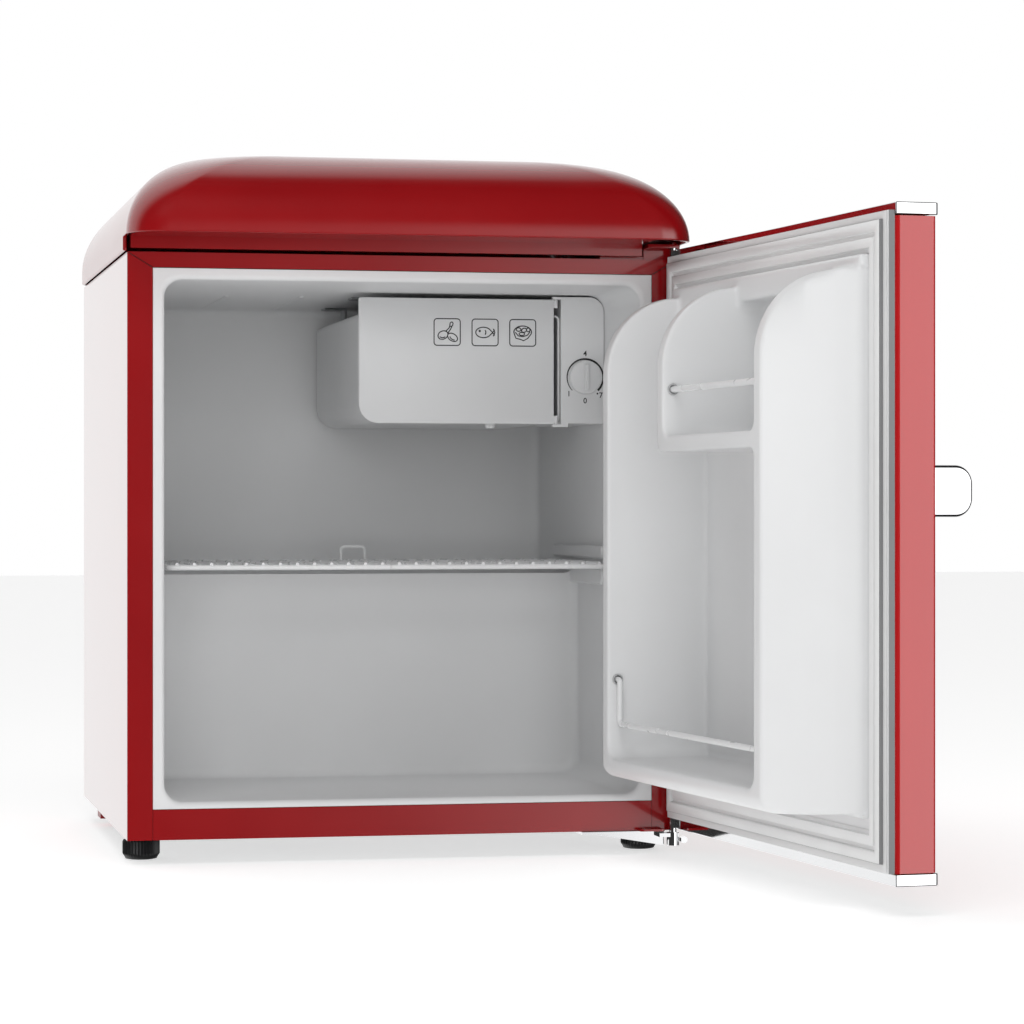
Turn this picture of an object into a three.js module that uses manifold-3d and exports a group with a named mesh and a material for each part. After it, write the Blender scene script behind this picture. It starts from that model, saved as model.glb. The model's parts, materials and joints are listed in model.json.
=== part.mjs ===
// Compact refrigerator with an open door, an icebox, a wire shelf and a domed top.
// Millimetres, +Z up. The door faces -Y and is hinged on the +X side.
// Pieces are drawn with X = 0 at the cabinet's middle, Y = 0 at its front face and
// Z = 0 at its bottom edge. The finished group is then moved so that its origin is
// the centre of its bounding box in plan, at floor level.
import * as THREE from 'three';
import { mergeVertices } from 'three/addons/utils/BufferGeometryUtils.js';
import Module from 'manifold-3d';

const wasm = await Module();
wasm.setup();

// ---- driving dimensions ----
const CABINET = { half: 222.5, depth: 425, height: 463, sheet: 1 };
const FRAME = { width: 20, rail: 24, topEdge: 451, thick: 1.2 };
const CAVITY = { half: 193, floor: 30, ceiling: 442, stepY: 225, stepZ: 205, back: 387, radius: 12 };
const LINER = { wall: 2, flangeHalf: 202.2, flangeLow: 24.4, flangeHigh: 450.7 };
const BACK = { y: 409, low: 184 };
const BAY = { y: 256, ceiling: 180 };
const CAP = { half: 226, front: -57, back: 430, low: 463.8, hood: 475, top: 543, inset: 84, wall: 3 };
const CAP_CORNER = { low: 30, high: 62 };
const DOOR = { half: 222, front: -40.3, back: -9.7, low: 1.8, high: 471, sheet: 1, round: 1.5 };
const TRIM = { height: 8.7, proud: 1.5 };
const DOOR_LINER = { half: 221, back: -9.4, face: -4.6, low: 10.9, high: 465.2 };
const PLATEAU = { half: 189.5, face: 2.5, low: 46, high: 437.6 };
const POCKET = { back: -20, low: 64, high: 418, wall: 2 };
const CHEEK = { rim: 63.5, low: 48, arc: 61, arcZ: 368, thick: 14, hinge: 172, middle: 44, free: -156 };
const UPPER_BIN = { low: 304, high: 316 };
const GASKET = { half: 219, low: 11.5, high: 464.8, band: 27, bandZ: 21.6, face: -0.8 };
const HINGE = { x: 218, y: -8, pin: 3 };
const DOOR_OPEN = 95.3;
const HANDLE = { z: 273, half: 18, depth: 33.7, from: -208, to: -78, post: 15, strap: 8 };
const ICEBOX = { left: -17.8, right: 149, low: 333, high: 438, front: 125, back: 362, bend: 24 };
const ICEBOX_DOOR = { thick: 3.6, pinOut: 2, pin: 0.9, knuckle: 7, corner: 16.5 };
const HOUSING = { left: 155.3, right: 192.4, low: 333.5, high: 440.4, depth: 105, wall: 2 };
const KNOB = { x: 176.2, z: 372.6, radius: 14.3, height: 8, shaft: 3, grip: 3.2, gripHalf: 11 };
const SHELF = { front: 72, back: 268, half: 184, z: 213.3, rail: 2.1, wire: 1.5, wires: 26, pitch: 14.05 };
const RIB = { reach: 7, front: 108, back: 297, lowZ: 197, seatZ: 210.8, guardZ: 219, topZ: 229.5 };
const FOOT = { x: 206, y: 58, radius: 15, low: -20, top: -4, stud: 4, studTop: 16 };
const REAR_FOOT = { inner: 181, outer: 215, y: 350, length: 30, low: -13, sheet: 2, padX: 191, pad: 9 };
const COMPRESSOR = { x: -55, y: 336, radius: 60, low: 24, high: 158 };
const MOUNT = { low: 14, thick: 3, halfX: 84, halfY: 46, inset: 12, saddle: 40, hole: 4.5 };
const RELAY = { width: 30, half: 26, low: 62, high: 122 };
const GLAND = { z: 80, flange: 9, neck: 6, bore: 3.4, length: 16 };
const DRIER = { x: 120, y: 380, pipe: 3, radius: 9, low: 60, high: 150 };
const COIL = { passes: 9, reach: 190, low: 222, rise: 24, radius: 2.4, bend: 11 };
const LOWER_HINGE = { from: 144, tip: 209, to: 212, front: -11.5, back: 34, low: -2.5, boss: 5 };
const UPPER_HINGE = { from: 160, web: 196, to: 221.4, back: 58, sheet: 2.5, arm: 472, top: 474.8 };
const STRIP = { from: -220.6, to: 192, front: -9.2, back: -0.6, low: 465.6, lap: 0.5 };
const SOFFIT = { from: -221.4, front: -52.4, thick: 2, corner: 28.7 };
const FLARE = { edge: -190, foot: -187, waist: -188, shoulder: -184, shoulderY: 9 };
const EVAPORATOR = { sheet: 1.6, setback: 5.4, top: 425, corner: 18, bend: 4 };
const HANGER = { head: -14, web: 4, foot: 20, width: 24, sheet: 1.5, front: 185, rear: 336 };
const DRAIN = { x: 99, y: 150, radius: 4.5, low: 329.5 };
const THERMOSTAT = { half: 12, below: 26, above: 22, depth: 42, bore: 14 };
const BIN_WIRE = { y: 55, barZ: 351, bar: 2.5, wireZ: 126, dropZ: 91, wire: 2.2, hole: 2.8, seat: 6 };
const GAP = 0.3;

// ---- materials ----
function finish(color, roughness, metalness) {
  return new THREE.MeshStandardMaterial({ color, roughness, metalness });
}
const RED = finish(0xa8151a, 0.22, 0.1);
const WHITE = finish(0xdadbdb, 0.45, 0);
const CHROME = finish(0xe6e6e8, 0.08, 1);
const ZINC = finish(0xb4b7ba, 0.4, 0.9);
const BLACK = finish(0x141414, 0.55, 0);
const FOAM = finish(0xd9c88a, 0.95, 0);
const GREY_RUBBER = finish(0xb9bbbc, 0.7, 0);
const ALUMINIUM = finish(0xc3c6c8, 0.5, 0.8);
const COPPER = finish(0xb06a3c, 0.3, 1);
const WIRE = finish(0xe8e9e9, 0.35, 0);

// ---- solid helpers ----
function toSolid(geometry) {
  geometry.deleteAttribute('normal');
  geometry.deleteAttribute('uv');
  const merged = mergeVertices(geometry, 1e-4);
  const vertProperties = new Float32Array(merged.attributes.position.array);
  const triVerts = new Uint32Array(merged.index.array);
  return new wasm.Manifold(new wasm.Mesh({ numProp: 3, vertProperties, triVerts }));
}

function toGeometry(solid) {
  const mesh = solid.getMesh();
  const geometry = new THREE.BufferGeometry();
  geometry.setAttribute('position', new THREE.BufferAttribute(mesh.vertProperties, 3));
  geometry.setIndex(new THREE.BufferAttribute(mesh.triVerts, 1));
  geometry.computeVertexNormals();
  return geometry;
}

function box(x0, x1, y0, y1, z0, z1) {
  const geometry = new THREE.BoxGeometry(x1 - x0, y1 - y0, z1 - z0);
  geometry.translate((x0 + x1) / 2, (y0 + y1) / 2, (z0 + z1) / 2);
  return toSolid(geometry);
}

function rod(axis, radius, from, to, a, b, sides = 16) {
  const geometry = new THREE.CylinderGeometry(radius, radius, to - from, sides);
  const middle = (from + to) / 2;
  if (axis === 'x') {
    geometry.rotateZ(Math.PI / 2);
    geometry.translate(middle, a, b);
  } else if (axis === 'y') {
    geometry.translate(a, middle, b);
  } else {
    geometry.rotateX(Math.PI / 2);
    geometry.translate(a, b, middle);
  }
  return toSolid(geometry);
}

function turned(points, x, y, sides = 24) {
  const profile = points.map(([radius, z]) => new THREE.Vector2(radius, z));
  const geometry = new THREE.LatheGeometry(profile, sides);
  geometry.rotateX(Math.PI / 2);
  geometry.translate(x, y, 0);
  return toSolid(geometry);
}

function roundedOutline(x0, x1, y0, y1, radii) {
  const [r0, r1, r2, r3] = Array.isArray(radii) ? radii : [radii, radii, radii, radii];
  const shape = new THREE.Shape();
  shape.moveTo(x0 + r0, y0);
  shape.lineTo(x1 - r1, y0);
  if (r1) shape.absarc(x1 - r1, y0 + r1, r1, -Math.PI / 2, 0, false);
  shape.lineTo(x1, y1 - r2);
  if (r2) shape.absarc(x1 - r2, y1 - r2, r2, 0, Math.PI / 2, false);
  shape.lineTo(x0 + r3, y1);
  if (r3) shape.absarc(x0 + r3, y1 - r3, r3, Math.PI / 2, Math.PI, false);
  shape.lineTo(x0, y0 + r0);
  if (r0) shape.absarc(x0 + r0, y0 + r0, r0, Math.PI, Math.PI * 1.5, false);
  return shape;
}

// Shape (X, Z) pushed along Y.
function extrudeY(shape, y0, y1, curveSegments = 5) {
  const geometry = new THREE.ExtrudeGeometry(shape, { depth: y1 - y0, bevelEnabled: false, curveSegments });
  geometry.rotateX(Math.PI / 2);
  geometry.translate(0, y1, 0);
  return toSolid(geometry);
}

// Shape (Y, Z) pushed along X.
function extrudeX(shape, x0, x1, curveSegments = 6) {
  const geometry = new THREE.ExtrudeGeometry(shape, { depth: x1 - x0, bevelEnabled: false, curveSegments });
  geometry.rotateX(Math.PI / 2);
  geometry.rotateZ(Math.PI / 2);
  geometry.translate(x0, 0, 0);
  return toSolid(geometry);
}

// Shape (X, Y) pushed along Z.
function extrudeZ(shape, z0, z1, curveSegments = 4) {
  const geometry = new THREE.ExtrudeGeometry(shape, { depth: z1 - z0, bevelEnabled: false, curveSegments });
  geometry.translate(0, 0, z0);
  return toSolid(geometry);
}

// A route of straight runs joined by round bends, sampled where the shape needs it.
class BentRoute extends THREE.Curve {
  constructor(corners, bend, bendSteps = 4) {
    super();
    const points = corners.map((corner) => new THREE.Vector3(...corner));
    this.stations = [points[0]];
    for (let i = 1; i < points.length - 1; i++) {
      const before = points[i - 1].clone().sub(points[i]).normalize();
      const after = points[i + 1].clone().sub(points[i]).normalize();
      const start = points[i].clone().addScaledVector(before, bend);
      const end = points[i].clone().addScaledVector(after, bend);
      const arc = new THREE.QuadraticBezierCurve3(start, points[i], end);
      for (let k = 0; k <= bendSteps; k++) {
        this.stations.push(arc.getPoint(k / bendSteps));
      }
    }
    this.stations.push(points[points.length - 1]);
  }

  getPoint(t, target = new THREE.Vector3()) {
    const place = t * (this.stations.length - 1);
    const index = Math.min(Math.floor(place), this.stations.length - 2);
    return target.lerpVectors(this.stations[index], this.stations[index + 1], place - index);
  }

  getPointAt(u, target) {
    return this.getPoint(u, target);
  }

  getTangentAt(u, target = new THREE.Vector3()) {
    const last = this.stations.length - 1;
    const index = Math.round(u * last);
    const next = this.stations[Math.min(index + 1, last)];
    const previous = this.stations[Math.max(index - 1, 0)];
    return target.copy(next).sub(previous).normalize();
  }
}

function bentTube(corners, radius, bend, sides = 8) {
  const section = new THREE.Shape();
  for (let i = 0; i < sides; i++) {
    const angle = (i / sides) * Math.PI * 2;
    const place = [Math.cos(angle) * radius, Math.sin(angle) * radius];
    if (i === 0) section.moveTo(...place);
    else section.lineTo(...place);
  }
  section.closePath();
  const route = new BentRoute(corners, bend);
  const steps = route.stations.length - 1;
  const geometry = new THREE.ExtrudeGeometry(section, { steps, bevelEnabled: false, extrudePath: route });
  return toSolid(geometry);
}

// Closed skin through equal rings of points, with flat ends.
function loft(rings) {
  const count = rings[0].length;
  const positions = [];
  const faces = [];
  for (const ring of rings) {
    for (const point of ring) positions.push(...point);
  }
  for (let level = 0; level < rings.length - 1; level++) {
    for (let i = 0; i < count; i++) {
      const a = level * count + i;
      const b = level * count + ((i + 1) % count);
      faces.push(a, b, b + count, a, b + count, a + count);
    }
  }
  const bottom = positions.length / 3;
  const middleOf = (ring) => [0, 1, 2].map((axis) => ring.reduce((sum, p) => sum + p[axis], 0) / count);
  positions.push(...middleOf(rings[0]), ...middleOf(rings[rings.length - 1]));
  const lastStart = (rings.length - 1) * count;
  for (let i = 0; i < count; i++) {
    const next = (i + 1) % count;
    faces.push(bottom, next, i, bottom + 1, lastStart + i, lastStart + next);
  }
  const geometry = new THREE.BufferGeometry();
  geometry.setAttribute('position', new THREE.Float32BufferAttribute(positions, 3));
  geometry.setIndex(faces);
  return toSolid(geometry);
}

// ---- assembly ----
const cabinet = new THREE.Group();
const doorPivot = new THREE.Group();
const door = new THREE.Group();

function place(name, solid, material, parent = cabinet) {
  const mesh = new THREE.Mesh(toGeometry(solid), material);
  mesh.name = name;
  parent.add(mesh);
}

function union(...solids) {
  return solids.reduce((all, next) => all.add(next));
}

function cut(solid, ...tools) {
  return tools.reduce((rest, tool) => rest.subtract(tool), solid);
}

// ---- cabinet ----
function cavity(grow, front) {
  const half = CAVITY.half + grow;
  const radius = CAVITY.radius + grow;
  const tall = roundedOutline(-half, half, CAVITY.floor - grow, CAVITY.ceiling + grow, radius);
  const upper = roundedOutline(-half, half, CAVITY.stepZ - grow, CAVITY.ceiling + grow, radius);
  return union(
    extrudeY(tall, front, CAVITY.stepY + grow),
    extrudeY(upper, CAVITY.stepY - 5, CAVITY.back + grow),
  );
}

function makeWrapper() {
  const { half, depth, height, sheet } = CABINET;
  const front = FRAME.thick + GAP;
  const shell = cut(
    box(-half, half, front, depth, 0, height),
    box(-half + sheet, half - sheet, front - 1, depth + 1, -1, height - sheet),
  );
  place('outer_wrapper', shell, RED);
}

// The four face strips meet at mitres on top and butt against the bottom rail.
function makeFrontFrame() {
  const { half, height } = CABINET;
  const inner = half - FRAME.width;
  for (const [side, sign] of [['left', -1], ['right', 1]]) {
    const shape = new THREE.Shape();
    shape.moveTo(sign * half, 0);
    shape.lineTo(sign * inner, 0);
    shape.lineTo(sign * inner, FRAME.topEdge - GAP);
    shape.lineTo(sign * half, height - GAP);
    place(`front_frame_${side}`, extrudeY(shape, 0, FRAME.thick), RED);
  }
  const top = new THREE.Shape();
  top.moveTo(-inner + GAP, FRAME.topEdge + GAP);
  top.lineTo(inner - GAP, FRAME.topEdge + GAP);
  top.lineTo(half - GAP, height + GAP);
  top.lineTo(-half + GAP, height + GAP);
  place('front_frame_top', extrudeY(top, 0, FRAME.thick), RED);
  place('front_frame_bottom', box(-inner + GAP, inner - GAP, 0, FRAME.thick, 0, FRAME.rail), RED);
}

function makeLiner() {
  const { flangeHalf, flangeLow, flangeHigh, wall } = LINER;
  const flange = box(-flangeHalf, flangeHalf, 0.2, 0.2 + wall, flangeLow, flangeHigh);
  let liner = union(flange, cavity(wall, 0.2 + wall - 0.5)).subtract(cavity(0, -1));
  for (const sign of [-1, 1]) {
    const edges = [sign * (CAVITY.half - RIB.reach), sign * (CAVITY.half + 1)];
    const [x0, x1] = edges.sort((a, b) => a - b);
    for (const [z0, z1] of [[RIB.lowZ, RIB.seatZ], [RIB.guardZ, RIB.topZ]]) {
      liner = liner.add(box(x0, x1, RIB.front, RIB.back, z0, z1).intersect(cavity(1, 1)));
    }
  }
  place('inner_liner', liner, WHITE);
}

function makeInsulation() {
  const half = CABINET.half - CABINET.sheet - GAP;
  const front = FRAME.thick + 2;
  const block = box(-half, half, front, BACK.y - GAP, 2, CABINET.height - CABINET.sheet - GAP);
  const bay = box(-half - 1, half + 1, BAY.y, BACK.y + 1, 0, BAY.ceiling);
  const stud = (x) => rod('z', FOOT.stud + 2, 0, FOOT.studTop + 4, x, FOOT.y);
  const hollow = cavity(LINER.wall + GAP, front - 5);
  place('foam_insulation', cut(block, hollow, bay, stud(-FOOT.x), stud(FOOT.x)), FOAM);
}

function makeBack() {
  const half = CABINET.half - CABINET.sheet - GAP;
  const top = CABINET.height - CABINET.sheet - GAP;
  place('back_panel', box(-half, half, BACK.y, BACK.y + 1, BACK.low, top), ZINC);
  const wall = box(-half, half, BAY.y + GAP, BAY.y + GAP + 1, 2, BAY.ceiling - GAP);
  const ceiling = box(-half, half, BAY.y + GAP, BACK.y + 1, BAY.ceiling - GAP - 1, BAY.ceiling - GAP);
  place('compressor_bay_panel', union(wall, ceiling), ZINC);
  let pan = box(-half, half, 3, CABINET.depth - 2, 0.4, 1.6);
  for (const sign of [-1, 1]) {
    pan = pan.subtract(rod('z', FOOT.stud + 1, -2, 4, sign * FOOT.x, FOOT.y));
  }
  place('base_pan', pan, ZINC);
}

function makeCondenser() {
  const { passes, reach, low, rise, radius, bend } = COIL;
  const corners = [];
  for (let i = 0; i < passes; i++) {
    const side = i % 2 ? 1 : -1;
    corners.push([side * reach, BACK.y + 7.5, low + i * rise]);
    corners.push([-side * reach, BACK.y + 7.5, low + i * rise]);
  }
  place('condenser_coil', bentTube(corners, radius, bend, 5), BLACK);
}

function capRing(level, shrink) {
  const t = (level * Math.PI) / 2;
  const inset = CAP.inset * (1 - Math.cos(t)) + shrink;
  const z = CAP.hood + (CAP.top - CAP.hood) * Math.sin(t);
  const radius = CAP_CORNER.low + (CAP_CORNER.high - CAP_CORNER.low) * (1 - Math.cos(t)) - shrink / 2;
  const middle = (CAP.front + CAP.back) / 2;
  const halfX = CAP.half - inset - radius;
  const halfY = (CAP.back - CAP.front) / 2 - inset - radius;
  const ring = [];
  const steps = 5;
  for (let corner = 0; corner < 4; corner++) {
    const cx = corner === 1 || corner === 2 ? -halfX : halfX;
    const cy = corner < 2 ? halfY : -halfY;
    for (let k = 0; k <= steps; k++) {
      const angle = ((corner + k / steps) * Math.PI) / 2;
      ring.push([cx + Math.cos(angle) * radius, middle + cy + Math.sin(angle) * radius, z]);
    }
  }
  return ring;
}

function makeCap() {
  const lower = (ring, z) => ring.map(([x, y]) => [x, y, z]);
  const levels = [0, 0.18, 0.36, 0.54, 0.7, 0.86, 1];
  const outer = levels.map((level) => capRing(level, 0));
  const dropped = (ring) => ring.map(([x, y, z]) => [x, y, z - CAP.wall]);
  const inner = levels.map((level) => dropped(capRing(level, CAP.wall)));
  const skin = loft([lower(outer[0], CAP.low), ...outer]);
  const hollow = loft([lower(inner[0], CAP.low - 5), ...inner]);
  const underHood = box(-CAP.half - 1, CAP.half + 1, CAP.front - 1, STRIP.back, CAP.low - 1, CAP.hood);
  place('top_cap', cut(skin, hollow, underHood), RED);
}

// The lip above the door and the soffit that closes the hood from below.
function makeFrontStrip() {
  const { from, to, front, back, low, lap } = STRIP;
  const lip = box(from, to, front, back, low, CAP.hood + lap);
  const outline = roundedOutline(SOFFIT.from, to, SOFFIT.front, back, [SOFFIT.corner, 0, 0, 0]);
  place('top_front_strip', lip.add(extrudeZ(outline, CAP.hood, CAP.hood + SOFFIT.thick)), RED);
}

// ---- cooling ----
function makeIcebox() {
  const { sheet, setback, top, corner, bend } = EVAPORATOR;
  const low = ICEBOX.low + 1;
  const front = ICEBOX.front + setback;
  const right = HOUSING.left - GAP;
  const outline = (inset) => roundedOutline(
    ICEBOX.left + inset,
    right - inset,
    low + inset,
    top - inset,
    [corner - inset, bend - inset, bend - inset, bend - inset],
  );
  const hollow = extrudeY(outline(sheet), front - 1, ICEBOX.back - sheet);
  place('evaporator_box', extrudeY(outline(0), front, ICEBOX.back).subtract(hollow), ALUMINIUM);
  for (const name of ['front', 'rear']) makeHanger(name, HANGER[name], top + GAP);
  const { x, y, radius, low: tip } = DRAIN;
  const plug = [[0, tip], [radius - 1, tip], [radius, tip + 2], [radius, low - GAP], [0, low - GAP]];
  place('evaporator_drain_plug', turned(plug, x, y), WHITE);
}

function makeHanger(name, y, low) {
  const { foot, web, head, width, sheet } = HANGER;
  const high = CAVITY.ceiling - GAP;
  const hanger = union(
    box(web, foot, y, y + width, low, low + sheet),
    box(web, web + sheet, y, y + width, low, high),
    box(head, web + sheet, y, y + width, high - sheet, high),
  );
  place(`evaporator_hanger_${name}`, hanger, ZINC);
}

function makeIceboxDoor() {
  const { thick, pinOut, pin, knuckle, corner } = ICEBOX_DOOR;
  const { left, right, low, high, front } = ICEBOX;
  const x = right + pinOut;
  const y = front + thick / 2;
  const outline = roundedOutline(left, right, low, high, [corner, 0, 0, 0]);
  const plate = extrudeY(outline, front, front + thick, 8);
  const knuckles = [];
  for (const [z0, z1, pin0, pin1] of [
    [low, low + knuckle, low - 2, low + 2],
    [high - knuckle, high - GAP, high - 2, high + 1.8],
  ]) {
    knuckles.push(rod('z', thick / 2, z0, z1, x, y, 12), rod('z', pin, pin0, pin1, x, y, 8));
    knuckles.push(box(right - 1, x, front + 0.4, front + thick - 0.4, z0 + 0.5, z1 - 0.5));
  }
  place('freezer_door', union(plate, ...knuckles), WHITE);
}

function makeHousing() {
  const { left, right, low, high, depth, wall } = HOUSING;
  const front = ICEBOX.front;
  const back = front + depth;
  const outer = roundedOutline(left, right, low, high, [2, 2, CAVITY.radius + 0.4, 2]);
  const hollow = [left + wall, right - wall, low + wall, high - wall];
  const inner = roundedOutline(...hollow, [1, 1, CAVITY.radius + 0.4 - wall, 1]);
  const x = ICEBOX.right + ICEBOX_DOOR.pinOut;
  const y = front + ICEBOX_DOOR.thick / 2;
  let shell = extrudeY(outer, front, back).subtract(extrudeY(inner, front + wall, back + 1));
  for (const [z0, z1] of [[ICEBOX.low - 2.6, ICEBOX.low - 0.4], [ICEBOX.high + 0.2, high]]) {
    const ear = box(x - 3, left + 1, front, front + 5, z0, z1);
    shell = shell.add(ear.subtract(rod('z', ICEBOX_DOOR.pin + GAP, z0 - 1, z1 + 1, x, y, 8)));
  }
  const earFoot = box(left, left + 6, front, front + 5, ICEBOX.low - 2.6, low + 1);
  const shaftHole = rod('y', KNOB.shaft + 0.5, front - 1, front + wall + 1, KNOB.x, KNOB.z);
  place('thermostat_housing', shell.add(earFoot).subtract(shaftHole), WHITE);
}

function makeThermostat() {
  const front = ICEBOX.front;
  const face = front + HOUSING.wall;
  const { half, below, above, depth, bore } = THERMOSTAT;
  const body = box(KNOB.x - half, KNOB.x + half, face + 1, front + depth, KNOB.z - below, KNOB.z + above);
  const hole = rod('y', KNOB.shaft + 0.5, face, front + bore, KNOB.x, KNOB.z);
  place('thermostat_body', body.subtract(hole), ZINC);
  const { x, z, radius, height, shaft, grip, gripHalf } = KNOB;
  const disc = rod('y', radius, front - height + 3, front - GAP, x, z, 32);
  const bar = box(x - grip / 2, x + grip / 2, front - height, front - height + 4, z - gripHalf, z + gripHalf);
  const stem = rod('y', shaft, front - 2, front + bore - 1, x, z);
  place('thermostat_knob', union(disc, bar, stem), WHITE);
}

function makeCompressor() {
  const { x, y, radius, low, high } = COMPRESSOR;
  const profile = [[0, low], [radius - 14, low], [radius - 3, low + 12], [radius, low + 46]];
  profile.push([radius, high - 46], [radius - 8, high - 18], [radius - 28, high - 4], [0, high]);
  place('compressor', turned(profile, x, y, 28), BLACK);
  const outlet = [[x, y, high + GAP], [x, y, 168], [-150, 345, 168], [-150, 400, 130]];
  outlet.push([-COIL.reach, BACK.y + 7.5, 130], [-COIL.reach, BACK.y + 7.5, 210]);
  place('discharge_tube', bentTube(outlet, COIL.radius, 6, 8), COPPER);
}

function makeCompressorMount() {
  const { x, y } = COMPRESSOR;
  const { low, thick, halfX, halfY, inset, saddle, hole } = MOUNT;
  const high = low + thick;
  const sheet = box(x - halfX, x + halfX, y - halfY, y + halfY, low, high);
  let base = sheet.add(rod('z', saddle, low + 1, COMPRESSOR.low - GAP, x, y, 24));
  const corners = [[-1, -1], [-1, 1], [1, -1], [1, 1]];
  corners.forEach(([sx, sy], index) => {
    const gx = x + sx * (halfX - inset);
    const gy = y + sy * (halfY - inset);
    base = base.subtract(rod('z', hole, 0, high + 3, gx, gy));
    const neck = hole - GAP;
    const grommet = [[0, 2], [9, 2], [9, low - GAP], [neck, low - GAP], [neck, high + GAP]];
    grommet.push([7, high + GAP], [6, high + 3], [0, high + 3]);
    place(`compressor_grommet_${index + 1}`, turned(grommet, gx, gy, 16), BLACK);
  });
  place('compressor_mount', base, ZINC);
}

function makeCompressorFittings() {
  const { y, radius } = COMPRESSOR;
  const coverX = COMPRESSOR.x + radius + GAP;
  const relay = box(coverX, coverX + RELAY.width, y - RELAY.half, y + RELAY.half, RELAY.low, RELAY.high);
  place('relay_cover', relay, BLACK);
  const x = coverX + RELAY.width + GAP;
  const { z, flange, neck, bore, length } = GLAND;
  const gland = union(rod('x', flange, x, x + 4, y, z), rod('x', neck, x + 3, x + length, y, z));
  place('cord_gland', gland.subtract(rod('x', bore, x - 1, x + length + 1, y, z)), BLACK);
  const { pipe, low, high } = DRIER;
  const drier = [[0, low], [pipe, low], [pipe, low + 10], [DRIER.radius, low + 18]];
  drier.push([DRIER.radius, high - 22], [pipe, high - 14], [pipe, high], [0, high]);
  place('filter_drier', turned(drier, DRIER.x, DRIER.y, 16), COPPER);
}

// ---- feet ----
function makeFrontFoot(side, x) {
  const { y, radius, low, top, stud, studTop } = FOOT;
  const profile = [[0, low], [radius - 3, low], [radius, low + 3], [radius, top - 1], [radius - 1, top]];
  profile.push([stud, top], [stud, studTop], [0, studTop]);
  place(`front_foot_${side}`, turned(profile, x, y, 24), BLACK);
  const nut = box(x - 12, x + 12, y - 12, y + 12, top + 0.8, 0.1);
  place(`foot_nut_${side}`, nut.subtract(rod('z', stud + 0.4, top - 1, 2, x, y)), ZINC);
}

function makeRearFoot(side, sign) {
  const { inner, outer, y, length, low, sheet, padX, pad } = REAR_FOOT;
  const [x0, x1] = [sign * inner, sign * outer].sort((a, b) => a - b);
  const y0 = y - length / 2;
  const y1 = y + length / 2;
  const channel = cut(
    box(x0, x1, y0, y1, low, 0.1),
    box(x0 + sheet, x1 - sheet, y0 - 1, y1 + 1, low + sheet, 0.1 - sheet),
  );
  place(`rear_foot_${side}`, channel, RED);
  const top = low - GAP;
  const sole = [[0, FOOT.low], [pad - 1, FOOT.low], [pad, FOOT.low + 2], [pad, top], [0, top]];
  place(`rear_pad_${side}`, turned(sole, sign * padX, y, 16), BLACK);
}

function makeFeet() {
  for (const [side, sign] of [['left', -1], ['right', 1]]) {
    makeFrontFoot(side, sign * FOOT.x);
    makeRearFoot(side, sign);
  }
}

// ---- hinges ----
function makeLowerHinge() {
  const { x, y, pin } = HINGE;
  const { from, tip, to, front, back, low, boss } = LOWER_HINGE;
  const outline = new THREE.Shape();
  outline.moveTo(from, -0.5);
  outline.lineTo(tip, front);
  outline.lineTo(to, front);
  outline.lineTo(to, -0.5);
  const bracket = union(
    extrudeY(outline, low, -0.4),
    box(from, to, low, back, low + 0.1, -GAP),
    box(to - 6, x + 4, y - 4, -0.4, -4.5, -1.5),
    rod('z', boss, front, -0.8, x, y, 20),
  );
  const bore = rod('z', pin + GAP, front - 2.5, 2, x, y, 16);
  place('lower_hinge_bracket', bracket.subtract(bore), CHROME);
  place('lower_hinge_pin', rod('z', pin, front + 0.5, 24, x, y, 16), CHROME);
  place('lower_hinge_nut', rod('y', 3, y - 4, y + 2, x + 8.6, -7, 6), CHROME);
  const stop = extrudeZ(roundedOutline(190, 211, y - 3.6, y + 6, 3), 0.2, 1.8);
  place('door_stop_plate', stop.subtract(box(189, 212, -0.8, 10, -1, 3)), RED);
}

function makeUpperHinge() {
  const { x, y, pin } = HINGE;
  const { from, web, to, back, sheet, arm, top } = UPPER_HINGE;
  const low = CABINET.height + GAP;
  const bracket = union(
    box(from, to, 3, back, low, low + sheet),
    box(web, to, 1.8, 1.8 + sheet, low, top),
    box(web, to, y - 6, 1.8 + sheet, arm, top),
  );
  const bore = rod('z', pin + 0.15, arm - 12, top + 5, x, y, 16);
  place('upper_hinge_bracket', bracket.subtract(bore), RED);
  place('upper_hinge_pin', rod('z', pin, 446.5, 477, x, y, 16), CHROME);
}

// ---- main door, drawn closed ----
function bushSpace(grow, z0, z1) {
  const { x, y } = HINGE;
  return box(x - 4.6 - grow, x + 3.8 + grow, y - 4.6 - grow, y + 3.3 + grow, z0 - grow, z1 + grow);
}

const BUSHES = [['lower', DOOR_LINER.low + 0.3, 27], ['upper', 446, DOOR.high - TRIM.height - 0.6]];

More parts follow.
